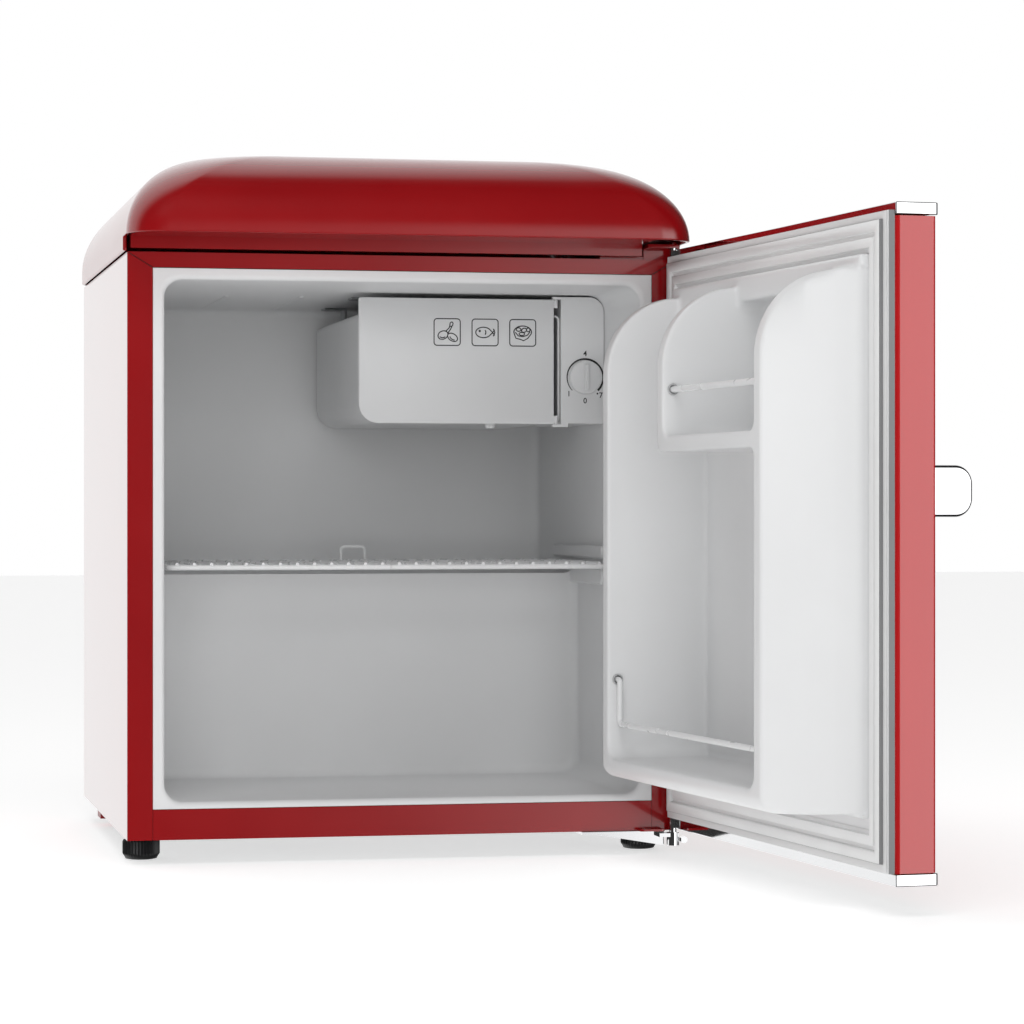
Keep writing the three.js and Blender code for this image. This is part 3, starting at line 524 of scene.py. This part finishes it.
def make_liner():
    low, high = span("inner_liner")
    front = low.y
    outer = fused(
        block(low.x, high.x, front, front + 2, low.z, high.z),
        block(-WALL - 2, WALL + 2, front + 1, STEP_Y + 2, FLOOR - 2, CEILING + 2),
        block(-WALL - 2, WALL + 2, front + 1, REAR + 2, STEP_Z - 2, CEILING + 2),
    )
    mouth = cavity_solid(FLOOR, front, STEP_Y, 4)
    start = [(x, front - 3, z) for x, z in rounded(-WALL - 4, WALL + 4, FLOOR - 4, CEILING + 4, 14)]
    entry = [(x, front + 0.01, z) for x, z in rounded(-WALL - 4, WALL + 4, FLOOR - 4, CEILING + 4, 14)]
    hollow = fused(mouth, loft([start, entry]), cavity_solid(STEP_Z, 90, REAR, 0))
    shell = cut(outer, hollow)
    parts = [shell]
    for sign in (-1, 1):
        for z0, z1 in ((197, 210.8), (219, 229.5)):
            x0, x1 = sorted((sign * (WALL - 7), sign * (WALL + 1)))
            radius = (z1 - z0) / 2 - 0.2
            outline = rounded(108, 297, z0, z1, radius, 8)
            inside = rounded(109.5, 295.5, z0 + 1.5, z1 - 1.5, radius - 1.5, 8)
            edge = x0 if sign > 0 else x1
            rim = edge + sign * 1.5
            root = x1 if sign > 0 else x0
            rings = [[(edge, a, b) for a, b in inside], [(rim, a, b) for a, b in outline],
                     [(root, a, b) for a, b in outline]]
            parts.append(loft(rings))
    for x in (-121, -57):
        parts.append(tube(bent([(x, 192, CEILING + 0.5), (x, 380, CEILING + 0.5)], 1), 1.1, 8))
        parts.append(lathe([(0, 0), (1.6, 0), (2, 0.6), (2, 3)], x, 190, CEILING - 1, steps=24))
    place("cavity_liner", joined(*parts), "cabinet", "liner_white", ["inner_liner"], sharp=30)


def make_shelf():
    low, high = span("wire_shelf")
    half = high.x
    front = low.y + 2.1
    back = 268
    z = 213.3
    rail = 2.1
    parts = []
    loop = [(-half + rail, front, z), (half - rail, front, z), (half - rail, back, z), (-half + rail, back, z)]
    around = bent([Vector(loop[0]).lerp(Vector(loop[1]), 0.5), loop[1], loop[2], loop[3], loop[0],
                   Vector(loop[0]).lerp(Vector(loop[1]), 0.499)], 6)
    parts.append(tube(around, rail, 14))
    middle = (front + back) / 2
    parts.append(tube([(-half + 2, middle, z), (half - 2, middle, z)], rail, 12))
    pitch = 14.05
    for i in range(26):
        x = (i - 12.5) * pitch
        top = z + rail + 0.5
        parts.append(tube([(x, front - 0.9, top), (x, back + 0.9, top)], 1.4, 10))
    stop = bent([(-10.5, back, z), (-10.5, back, z + 15), (10.5, back, z + 15), (10.5, back, z)], 4)
    parts.append(tube(stop, 1.45, 10))
    place("shelf_wires", joined(*parts), "wire_shelf", "wire_white", ["wire_shelf"])


# ---- icebox and thermostat ----
def make_icebox_door():
    low, high = span("freezer_door")
    plate_low, plate_high, front, left, right = 333, 438, low.y, -17.8, 149
    outline = rounded(left, right, plate_low, plate_high, (16.5, 0.8, 0.8, 1.5), 12)
    inset = rounded(left + 0.8, right - 0.8, plate_low + 0.8, plate_high - 0.8, (15.7, 0.4, 0.4, 0.8), 12)
    back = low.y + 3.5
    rings = [[(x, front, z) for x, z in inset], [(x, front + 0.5, z) for x, z in outline],
             [(x, back, z) for x, z in outline]]
    parts = [loft(rings)]
    x, y = 151, front + 1.8
    for z0, z1 in ((plate_low + 0.2, plate_low + 7), (plate_high - 7, plate_high - 0.3)):
        parts.append(lathe([(0, z0), (1.6, z0), (1.75, z0 + 0.3), (1.75, z1 - 0.3), (1.6, z1), (0, z1)], x, y, steps=24))
        parts.append(block(right - 1, x, front + 0.6, back - 0.4, z0 + 0.5, z1 - 0.5))
    parts.append(lathe([(0, low.z), (0.9, low.z), (0.9, plate_low + 1), (0, plate_low + 1)], x, y, steps=16))
    parts.append(lathe([(0, plate_high - 1), (0.9, plate_high - 1), (0.9, high.z), (0, high.z)], x, y, steps=16))
    mesh = joined(*parts)
    place("icebox_door", mesh, "freezer_door", "trim_white", ["freezer_door"])
    return front


def ink(name, strokes, front, body, radius=0.46):
    """Printed lines on a face that looks along -Y: strokes are lists of (x, z)."""
    parts = []
    for stroke in strokes:
        route = [Vector((x, front - 0.02, z)) for x, z in stroke]
        line = tube(route, radius, 8)
        line.transform(Matrix.Translation((0, front, 0)) @ Matrix.Diagonal((1, 0.35, 1, 1))
                       @ Matrix.Translation((0, -front, 0)))
        parts.append(line)
    place(name, joined(*parts), body, "print_black")


def oval(cx, cz, rx, rz, start=0, end=360, steps=28, tilt=0.0):
    points = []
    for i in range(steps + 1):
        a = math.radians(start + (end - start) * i / steps)
        x, z = rx * math.cos(a), rz * math.sin(a)
        c, s = math.cos(math.radians(tilt)), math.sin(math.radians(tilt))
        points.append((cx + x * c - z * s, cz + x * s + z * c))
    return points


def frame_stroke(cx, cz, size=22.4):
    half = size / 2
    outline = rounded(cx - half, cx + half, cz - half, cz + half, 2.6, 6)
    return outline + outline[:2]


def make_pictograms(front):
    z = 409.7
    poultry, fish, meat = 57.2, 89.7, 122.1
    strokes = [frame_stroke(x, z) for x in (poultry, fish, meat)]
    strokes.append(oval(poultry - 3.6, z - 2.6, 4.4, 3.4, tilt=25))
    strokes.append(oval(poultry + 4.6, z - 4.4, 4.6, 3.0, tilt=-30))
    strokes.append([(poultry - 1.2, z + 0.6), (poultry + 1.6, z + 3.4), (poultry + 2.6, z + 6.4)])
    strokes.append([(poultry + 0.6, z - 0.8), (poultry + 3.0, z + 2.6), (poultry + 4.2, z + 5.4)])
    strokes.append(oval(poultry + 3.6, z + 6.6, 1.3, 2.0, tilt=-20, steps=14))
    strokes.append(oval(poultry - 4.0, z - 3.4, 2.4, 1.4, 200, 340, 10))
    strokes.append(oval(poultry + 4.8, z - 5.0, 2.6, 1.2, 180, 330, 10, -30))
    strokes.append(oval(fish - 1.4, z, 6.6, 4.4, 28, 332, 30))
    strokes.append([(fish + 4.4, z + 2.1), (fish + 6.4, z + 0.2), (fish + 8.2, z - 2.4)])
    strokes.append([(fish + 4.4, z - 2.1), (fish + 6.4, z - 0.2), (fish + 8.2, z + 2.4)])
    strokes.append([(fish + 7.0, z + 3.2), (fish + 8.4, z), (fish + 7.0, z - 3.2)])
    strokes.append(oval(fish - 4.6, z + 1.2, 0.6, 0.6, steps=10))
    strokes.append(oval(fish - 2.0, z, 2.6, 3.0, -40, 40, 8))
    strokes.append(oval(meat, z + 0.6, 7.6, 5.2, -10, 200, 26))
    strokes.append([(meat - 7.2, z - 1.2), (meat - 5.8, z - 4.6), (meat - 2.4, z - 5.4), (meat + 0.8, z - 6.6),
                    (meat + 4.4, z - 4.6), (meat + 7.5, z - 0.4)])
    strokes.append([(meat - 6.4, z + 0.4), (meat - 3.8, z - 2.6), (meat, z - 3.2), (meat + 4.0, z - 2.0),
                    (meat + 6.4, z + 1.0)])
    strokes.append(oval(meat - 3.6, z + 2.8, 2.0, 1.5, steps=14))
    strokes.append(oval(meat + 1.2, z + 2.2, 2.3, 1.7, steps=14, tilt=20))
    strokes.append(oval(meat + 4.8, z + 2.6, 1.5, 1.6, steps=12))
    strokes.append(oval(meat - 0.8, z - 0.9, 2.4, 1.3, steps=14))
    ink("icebox_pictograms", strokes, front, "freezer_door")


KNOB_X = 176.2
KNOB_Z = 372.6
KNOB_R = 14.3


def make_knob():
    low, high = span("thermostat_knob")
    face = low.y + 3
    back = face + KNOB_R * 0 + 4.7
    profile = [(0, face), (KNOB_R - 1.6, face), (KNOB_R - 0.5, face + 0.5), (KNOB_R - 0.1, face + 1.6),
               (KNOB_R, back), (3.0, back), (3.0, high.y), (0, high.y)]
    disc = lathe(profile, KNOB_X, 0, KNOB_Z, "y", 96)
    outline = rounded(-1.7, 1.7, -11.2, 11.2, 1.6, 6)
    top = [(x * 0.72, z * 0.95) for x, z in outline]
    rings = [[(KNOB_X + x, low.y, KNOB_Z + z) for x, z in top],
             [(KNOB_X + x, low.y + 0.7, KNOB_Z + z) for x, z in outline],
             [(KNOB_X + x * 1.25, face + 0.6, KNOB_Z + z * 1.03) for x, z in outline]]
    mark = lathe([(0, 0), (0.6, 0), (0.6, 0.3), (0, 0.3)], KNOB_X, face - 0.15, KNOB_Z - 9, "y", 16)
    place("dial_knob", joined(disc, loft(rings), mark), "thermostat_knob", "trim_white",
          ["thermostat_knob"])


def digit_mesh(character, size):
    curve = bpy.data.curves.new("digit", "FONT")
    curve.body = character
    curve.size = size
    curve.align_x = "CENTER"
    curve.align_y = "CENTER"
    curve.extrude = 0.06
    curve.offset = 0.1
    holder = bpy.data.objects.new("digit", curve)
    bpy.context.scene.collection.objects.link(holder)
    bpy.context.view_layer.update()
    graph = bpy.context.evaluated_depsgraph_get()
    mesh = bpy.data.meshes.new_from_object(holder.evaluated_get(graph), depsgraph=graph)
    bpy.data.objects.remove(holder)
    return mesh


def make_dial(front):
    arc_radius = 15.9
    parts = []
    steps = 48
    start, end = 225, -45
    inner, outer = [], []
    for i in range(steps + 1):
        t = i / steps
        a = math.radians(start + (end - start) * t)
        width = 0.5 + 1.2 * t
        inner.append((KNOB_X + (arc_radius - width) * math.cos(a), KNOB_Z + (arc_radius - width) * math.sin(a)))
        outer.append((KNOB_X + (arc_radius + width * 0.4) * math.cos(a), KNOB_Z + (arc_radius + width * 0.4) * math.sin(a)))
    parts.append(prism(inner + outer[::-1], "y", front - 0.07, front + 0.05))
    for character, angle, radius in (("1", 225, 20.0), ("4", 90, 20.0), ("7", -48, 20.5), ("0", -90, 20.0)):
        a = math.radians(angle)
        mesh = digit_mesh(character, 6.4)
        mesh.transform(Matrix.Translation((KNOB_X + radius * math.cos(a), front, KNOB_Z + radius * math.sin(a)))
                       @ Matrix.Rotation(math.pi / 2, 4, "X"))
        parts.append(mesh)
    dot = math.radians(-52)
    parts.append(lathe([(0, -0.07), (0.8, -0.07), (0.8, 0.05), (0, 0.05)], KNOB_X + 17.4 * math.cos(dot), front,
                       KNOB_Z + 17.4 * math.sin(dot), "y", 16))
    place("dial_marks", joined(*parts), "cabinet", "print_black")


# ---- feet ----
def make_feet():
    for side, sign in (("left", -1), ("right", 1)):
        low, high = span(f"front_foot_{side}")
        x, y = (low.x + high.x) / 2, (low.y + high.y) / 2
        radius = (high.x - low.x) / 2
        ribs = 36
        steps = ribs * 4
        rings = []
        for r, z, depth in ((3, low.z + 0.6, 0), (radius - 5, low.z, 0), (radius - 2.4, low.z + 0.6, 0),
                            (radius - 1.0, low.z + 3.2, 0), (radius - 0.2, low.z + 4.2, 0.9),
                            (radius, low.z + 5.0, 1.0), (radius, -6.0, 1.0), (radius - 0.6, -4.6, 0.7),
                            (radius - 2.2, -4.0, 0), (4, -4.0, 0), (4, high.z - 1, 0), (3.2, high.z, 0)):
            ring = []
            for i in range(steps):
                a = 2 * math.pi * i / steps
                wave = 0.5 - 0.5 * math.cos(2 * math.pi * i / 4)
                ring.append((x + (r - depth * wave) * math.cos(a), y + (r - depth * wave) * math.sin(a), z))
            rings.append(ring)
        place(f"ribbed_foot_{side}", loft(rings), f"front_foot_{side}", "foot_black",
              [f"front_foot_{side}"], sharp=50)


# ---- door ----
PLATEAU = 189.5
PLATEAU_TOP = 437.6
BIN_RIM = 63.5
BIN_ARC_Z = 368
BIN_ARC = 61
CHEEK_WIDE = 14
HINGE_CHEEK = 172
MIDDLE_CHEEK = 44
FREE_CHEEK = -156
POCKET_BACK = -20
POCKET_LOW = 64
POCKET_HIGH = 418
UPPER_LOW = 304
UPPER_HIGH = 316


def cheek_outline(low):
    root = -8
    outline = [(root, low)] + arc(BIN_RIM - 12, low + 12, 12, -90, 0, 8)
    outline += arc(BIN_RIM - BIN_ARC, BIN_ARC_Z, BIN_ARC, 0, 90, 28)
    outline.append((root, BIN_ARC_Z + BIN_ARC))
    return outline


def make_door_liner():
    low, high = span("door_liner", "door")
    left = FREE_CHEEK + CHEEK_WIDE
    middle = MIDDLE_CHEEK + CHEEK_WIDE
    top = BIN_ARC_Z + BIN_ARC
    outline = cheek_outline(48)
    rim = BIN_RIM
    flare = (
        (HINGE_CHEEK + CHEEK_WIDE - 0.5, -8, rim, 48, top),
        (FREE_CHEEK, -8, rim, 48, top),
        (FREE_CHEEK - 14, -8, 36, 48, top),
        (FREE_CHEEK - 24, -8, 17, 48.5, top - 0.5),
        (FREE_CHEEK - 29, -5, 9, 49.5, top - 1.5),
        (FREE_CHEEK - 31.6, -2.5, 4, 51, top - 3),
        (FREE_CHEEK - 32.4, -0.5, 0, 53, top - 5),
    )
    rings = []
    for x, y0, y1, z0, z1 in flare:
        rings.append([(x, min(max(y, y0), y1), min(max(z, z0), z1)) for y, z in outline])
    deep, far = POCKET_BACK, BIN_RIM + 9
    lower = [(left, POCKET_LOW, 12), (HINGE_CHEEK, POCKET_LOW, 12), (HINGE_CHEEK, POCKET_HIGH, 9),
             (middle, POCKET_HIGH, 9), (middle, UPPER_LOW, 9), (left, UPPER_LOW, 9)]
    lower_front = [(middle, BIN_ARC_Z - 30, 0), (HINGE_CHEEK, BIN_ARC_Z - 30, 0), (HINGE_CHEEK, top + 9, 0),
                   (middle, top + 9, 0)]
    upper = [(left, UPPER_HIGH, 9), (MIDDLE_CHEEK, UPPER_HIGH, 9), (MIDDLE_CHEEK, POCKET_HIGH, 9),
             (left, POCKET_HIGH, 9)]
    upper_front = [(left, BIN_ARC_Z - 30, 0), (MIDDLE_CHEEK, BIN_ARC_Z - 30, 0), (MIDDLE_CHEEK, top + 9, 0),
                   (left, top + 9, 0)]
    pockets = []
    for shape, back in ((lower, deep), (lower_front, 2.5), (upper, deep), (upper_front, 2.5)):
        flat = polygon(shape)
        pockets.append(prism(flat, "y", back, far))
    tub = cut(loft(rings), *pockets)
    beside = block(-PLATEAU - 1, FREE_CHEEK - 30.5, -4.5, 5, 48, top)
    table = cut(block(-PLATEAU, PLATEAU, low.y, 2.5, 46, PLATEAU_TOP), pockets[0].copy(), pockets[2].copy(), beside)
    for hole_x, z in ((middle, 351), (HINGE_CHEEK + CHEEK_WIDE, 126)):
        tub = cut(tub, tube([(left - 8, 55, z), (hole_x - 6, 55, z)], 3.4, 24))
    soft = moulded(joined(tub, table), 1.5, 8)
    flange = block(low.x, high.x, -9.4, -4.6, low.z, high.z)
    pocket_space = block(left - 3, HINGE_CHEEK + 3, -12, 0, POCKET_LOW - 3, POCKET_HIGH + 3)
    flange = cut(flange, pocket_space)
    place("door_inner_moulding", joined(soft, flange), "door", "door_liner_white", ["door_liner"],
          DOOR, sharp=50)


def make_bin_wires():
    low, high = span("upper_bin_bar", "door")
    bar = tube([(low.x, 55, 351), (high.x, 55, 351)], 2.5, 24)
    place("upper_bin_rod", bar, "door", "wire_white", ["upper_bin_bar"], DOOR)
    left = FREE_CHEEK + CHEEK_WIDE
    corners = [(HINGE_CHEEK + 6, 55, 126), (HINGE_CHEEK - 5, 55, 126), (HINGE_CHEEK - 5, 55, 91),
               (left + 5, 55, 91), (left + 5, 55, 126), (left - 6, 55, 126)]
    place("lower_bin_rod", tube(bent(corners, 4.2, 8), 2.2, 20), "door", "wire_white",
          ["lower_bin_wire"], DOOR)
    cups = []
    for x, z, facing in ((MIDDLE_CHEEK, 351, -1), (left, 351, 1), (HINGE_CHEEK, 126, -1), (left, 126, 1)):
        cups.append(lathe([(3.2, -facing * 3), (3.2, facing * 0.4), (3.6, facing * 0.6), (4.2, facing * 0.5),
                           (4.4, facing * 0.1), (4.4, -facing * 3)], x, 55, z, "x", 40))
    place("bin_rod_grommets", joined(*cups), "door", "grommet_grey", (), DOOR)


def rectangle_sweep(profile, x0, x1, z0, z1):
    """A section of (inset, y) carried round a rectangle with mitred corners."""
    rings = []
    for inset, y in profile:
        left, right, low, high = x0 + inset, x1 - inset, z0 + inset, z1 - inset
        rings.append([(left, y, low), (right, y, low), (right, y, high), (left, y, high)])
    return loft(rings, closed=True)


def make_gasket():
    low, high = span("door_gasket", "door")
    seat = low.y
    top = high.y
    section = [(0, seat), (0, seat + 0.4), (5.3, seat + 0.4), (5.5, top - 0.4), (5.9, top), (12.8, top),
               (13.4, top - 0.6), (13.8, seat + 1), (16.4, seat + 1), (16.8, top - 0.9), (17.4, top - 0.5),
               (23.4, top - 0.6), (24.2, seat + 0.6), (26.8, seat + 0.3), (27, seat)]
    place("magnetic_gasket", rectangle_sweep(section, low.x, high.x, low.z, high.z), "door", "gasket_white",
          ["door_gasket"], DOOR, sharp=60)
    # Painted shade: mid-grey strips on the white gasket's outer side walls and round the liner flange's edge,
    # standing in for the shade on those walls.
    wall = [(5.3, seat + 0.45), (5.2, seat + 0.45), (5.4, top - 0.3), (5.5, top - 0.3)]
    edge_low, edge_high = span("door_liner", "door")
    rim = [(-0.12, -9.3), (-0.12, -4.9), (0.1, -4.9), (0.1, -9.3)]
    shades = joined(rectangle_sweep(wall, low.x, high.x, low.z, high.z),
                    rectangle_sweep(rim, edge_low.x, edge_high.x, edge_low.z, edge_high.z))
    place("gasket_wall_shade", shades, "door", "gasket_shade_grey", (), DOOR)


def make_door_shell():
    low, high = span("door_skin", "door")
    steps = 10

    def section(inset, front, hem):
        """The skin's outline seen from above, open towards the liner."""
        x0, x1, y0, y1 = low.x + inset, high.x - inset, low.y + inset, high.y - inset
        return (arc(x0 + hem, y1 - hem, hem, 90, 180, steps) + arc(x0 + front, y0 + front, front, 180, 270, steps)
                + arc(x1 - front, y0 + front, front, 270, 360, steps) + arc(x1 - hem, y1 - hem, hem, 0, 90, steps))

    mesh = prism(section(0, 3, 3.6) + section(0.8, 2.2, 2.8)[::-1], "z", low.z, high.z)
    # painted light: the door skin takes the brighter copy of the red enamel
    place("door_shell", mesh, "door", "red_enamel_lit_copy", ["door_skin"], DOOR)
    corner = 3
    for name in ("trim_bottom", "trim_top"):
        low, high = span(name, "door")
        outline = [(low.x, high.y)]
        outline += arc(low.x + corner, low.y + corner, corner, 180, 270, steps)
        outline += arc(high.x - corner, low.y + corner, corner, 270, 360, steps)
        outline.append((high.x, high.y))
        place(f"{name}_cap", prism(outline, "z", low.z + 0.15, high.z), "door", "chrome_plate", [name], DOOR,
              bevel=0.7, segments=3)


def make_handle():
    low, high = span("handle", "door")
    edge = 2.4
    rings = []
    for end, sign in ((low.x, 1), (high.x, -1)):
        turned = []
        for i in range(7):
            a = math.radians(15 * i)
            inset = edge * (1 - math.sin(a))
            outline = rounded(low.y + inset, high.y, low.z + inset, high.z - inset, (13 - inset, 2.5, 2.5, 13 - inset), 12)
            turned.append([(end + sign * edge * (1 - math.cos(a)), y, z) for y, z in outline])
        rings += turned if sign > 0 else turned[::-1]
    gap = prism(rounded(low.x + 15, high.x - 15, low.y + 8, high.y + 9, 4, 6), "z", low.z - 2, high.z + 2)
    place("door_handle", cut(loft(rings), gap), "door", "chrome_plate", ["handle"], DOOR, sharp=40)


def make_condenser():
    low, high = span("condenser_coil")
    y = (low.y + high.y) / 2
    corners = []
    for i in range(9):
        side = 1 if i % 2 else -1
        corners += [(side * 190, y, 222 + i * 24), (-side * 190, y, 222 + i * 24)]
    place("condenser_tube", tube(bent(corners, 11, 8), 2.3, 12), "cabinet", "black_enamel",
          ["condenser_coil"])


def make_camera():
    data = bpy.data.cameras.new("camera")
    data.sensor_width = 36
    data.lens = 116.2
    camera = bpy.data.objects.new("camera", data)
    camera.location = ORIGIN + Vector((-463.5, -2602.9, 258.5)) * MM
    camera.rotation_euler = (math.radians(90), 0, math.radians(-11.93))
    bpy.context.scene.collection.objects.link(camera)
    bpy.context.scene.camera = camera


def make_light(name, spot, target, size, watts):
    data = bpy.data.lights.new(name, "AREA")
    data.shape = "RECTANGLE"
    data.size, data.size_y = size
    data.energy = watts
    light = bpy.data.objects.new(name, data)
    light.location = spot
    light.rotation_euler = (Vector(target) - Vector(spot)).to_track_quat("-Z", "Y").to_euler()
    light.visible_glossy = False
    bpy.context.scene.collection.objects.link(light)


def ramp_node(tree, stops):
    ramp = tree.nodes.new("ShaderNodeValToRGB")
    band = ramp.color_ramp
    while len(band.elements) < len(stops):
        band.elements.new(0.5)
    for element, (place_at, level) in zip(band.elements, stops):
        element.position = place_at
        element.color = (level, level, level, 1)
    return ramp


def math_node(tree, operation, first, second):
    node = tree.nodes.new("ShaderNodeMath")
    node.operation = operation
    for socket, value in zip(node.inputs, (first, second)):
        if isinstance(value, (int, float)):
            socket.default_value = value
        else:
            tree.links.new(value, socket)
    return node.outputs["Value"]


def make_studio():
    world = bpy.context.scene.world or bpy.data.worlds.new("studio")
    bpy.context.scene.world = world
    world.use_nodes = True
    tree = world.node_tree
    for node in list(tree.nodes):
        tree.nodes.remove(node)
    output = tree.nodes.new("ShaderNodeOutputWorld")
    coords = tree.nodes.new("ShaderNodeTexCoord")
    split = tree.nodes.new("ShaderNodeSeparateXYZ")
    turn = tree.nodes.new("ShaderNodeMath")
    turn.operation = "ARCTAN2"
    tree.links.new(coords.outputs["Generated"], split.inputs["Vector"])
    tree.links.new(split.outputs["X"], turn.inputs[0])
    tree.links.new(split.outputs["Y"], turn.inputs[1])
    around = tree.nodes.new("ShaderNodeMapRange")
    around.inputs["From Min"].default_value = -math.pi
    around.inputs["From Max"].default_value = math.pi
    tree.links.new(turn.outputs["Value"], around.inputs["Value"])
    # clockwise from the front: 0 front, 0.25 left, 0.5 back, 0.75 right, 1 front
    panel = ramp_node(tree, [(0.0, 0.0), (0.80, 0.0), (0.84, 1.0), (0.935, 1.0), (0.961, 0.45), (0.972, 0.1),
                             (0.985, 0.0)])
    tree.links.new(around.outputs["Result"], panel.inputs["Fac"])
    heights = []
    for axis in ("Y", "Z"):
        spread = tree.nodes.new("ShaderNodeMapRange")
        spread.inputs["From Min"].default_value = -1
        spread.inputs["From Max"].default_value = 1
        tree.links.new(split.outputs[axis], spread.inputs["Value"])
        heights.append(spread.outputs["Result"])
    behind = ramp_node(tree, [(0.0, 0.04), (0.45, 0.04), (0.64, 1.0), (1.0, 1.0)])
    tree.links.new(heights[0], behind.inputs["Fac"])
    belt = ramp_node(tree, [(0.0, 0.0), (0.25, 0.0), (0.32, 1.0), (0.64, 1.0), (0.74, 0.0)])
    tree.links.new(heights[1], belt.inputs["Fac"])
    soft_box = math_node(tree, "MULTIPLY", panel.outputs["Color"], belt.outputs["Color"])
    bright_box = math_node(tree, "MULTIPLY", soft_box, 2.2)
    shade = ramp_node(tree, [(0.0, 1.0), (0.54, 1.0), (0.62, 0.04), (0.80, 0.04), (0.86, 1.0)])
    tree.links.new(around.outputs["Result"], shade.inputs["Fac"])
    wall = math_node(tree, "MULTIPLY", behind.outputs["Color"], shade.outputs["Color"])
    total = math_node(tree, "ADD", bright_box, wall)
    light = tree.nodes.new("ShaderNodeBackground")
    light.inputs["Color"].default_value = (1, 1, 1, 1)
    tree.links.new(total, light.inputs["Strength"])
    backdrop = tree.nodes.new("ShaderNodeBackground")
    backdrop.inputs["Color"].default_value = (1, 1, 1, 1)
    seen = tree.nodes.new("ShaderNodeLightPath")
    choose = tree.nodes.new("ShaderNodeMixShader")
    tree.links.new(seen.outputs["Is Camera Ray"], choose.inputs["Fac"])
    tree.links.new(light.outputs["Background"], choose.inputs[1])
    tree.links.new(backdrop.outputs["Background"], choose.inputs[2])
    tree.links.new(choose.outputs["Shader"], output.inputs["Surface"])
    floor_material = new_material("studio_floor", (0.75, 0.75, 0.75), 0.9)
    shader = floor_material.node_tree.nodes["Principled BSDF"]
    shader.inputs["Emission Color"].default_value = (1, 1, 1, 1)
    shader.inputs["Emission Strength"].default_value = 0.6
    mesh = mesh_from(lambda work: bmesh.ops.create_grid(work, x_segments=2, y_segments=2, size=12))
    mesh.materials.append(floor_material)
    floor = bpy.data.objects.new("studio_floor", mesh)
    bpy.context.scene.collection.objects.link(floor)
    floor.visible_glossy = False
    make_light("key_top", (-0.6, -1.6, 2.4), (0, 0, 0.3), (1.8, 1.4), 22)
    make_light("fill_front", (-0.6, -3.4, 0.7), (0, 0, 0.25), (1.6, 1.6), 30)


make_camera()
dress_cad_nodes()
make_seam_shade_board()
make_cap()
make_liner()
make_shelf()
icebox_front = make_icebox_door()
make_pictograms(icebox_front)
make_knob()
make_dial(icebox_front)
make_feet()
make_door_liner()
make_bin_wires()
make_gasket()
make_door_shell()
make_handle()
make_condenser()
make_studio()
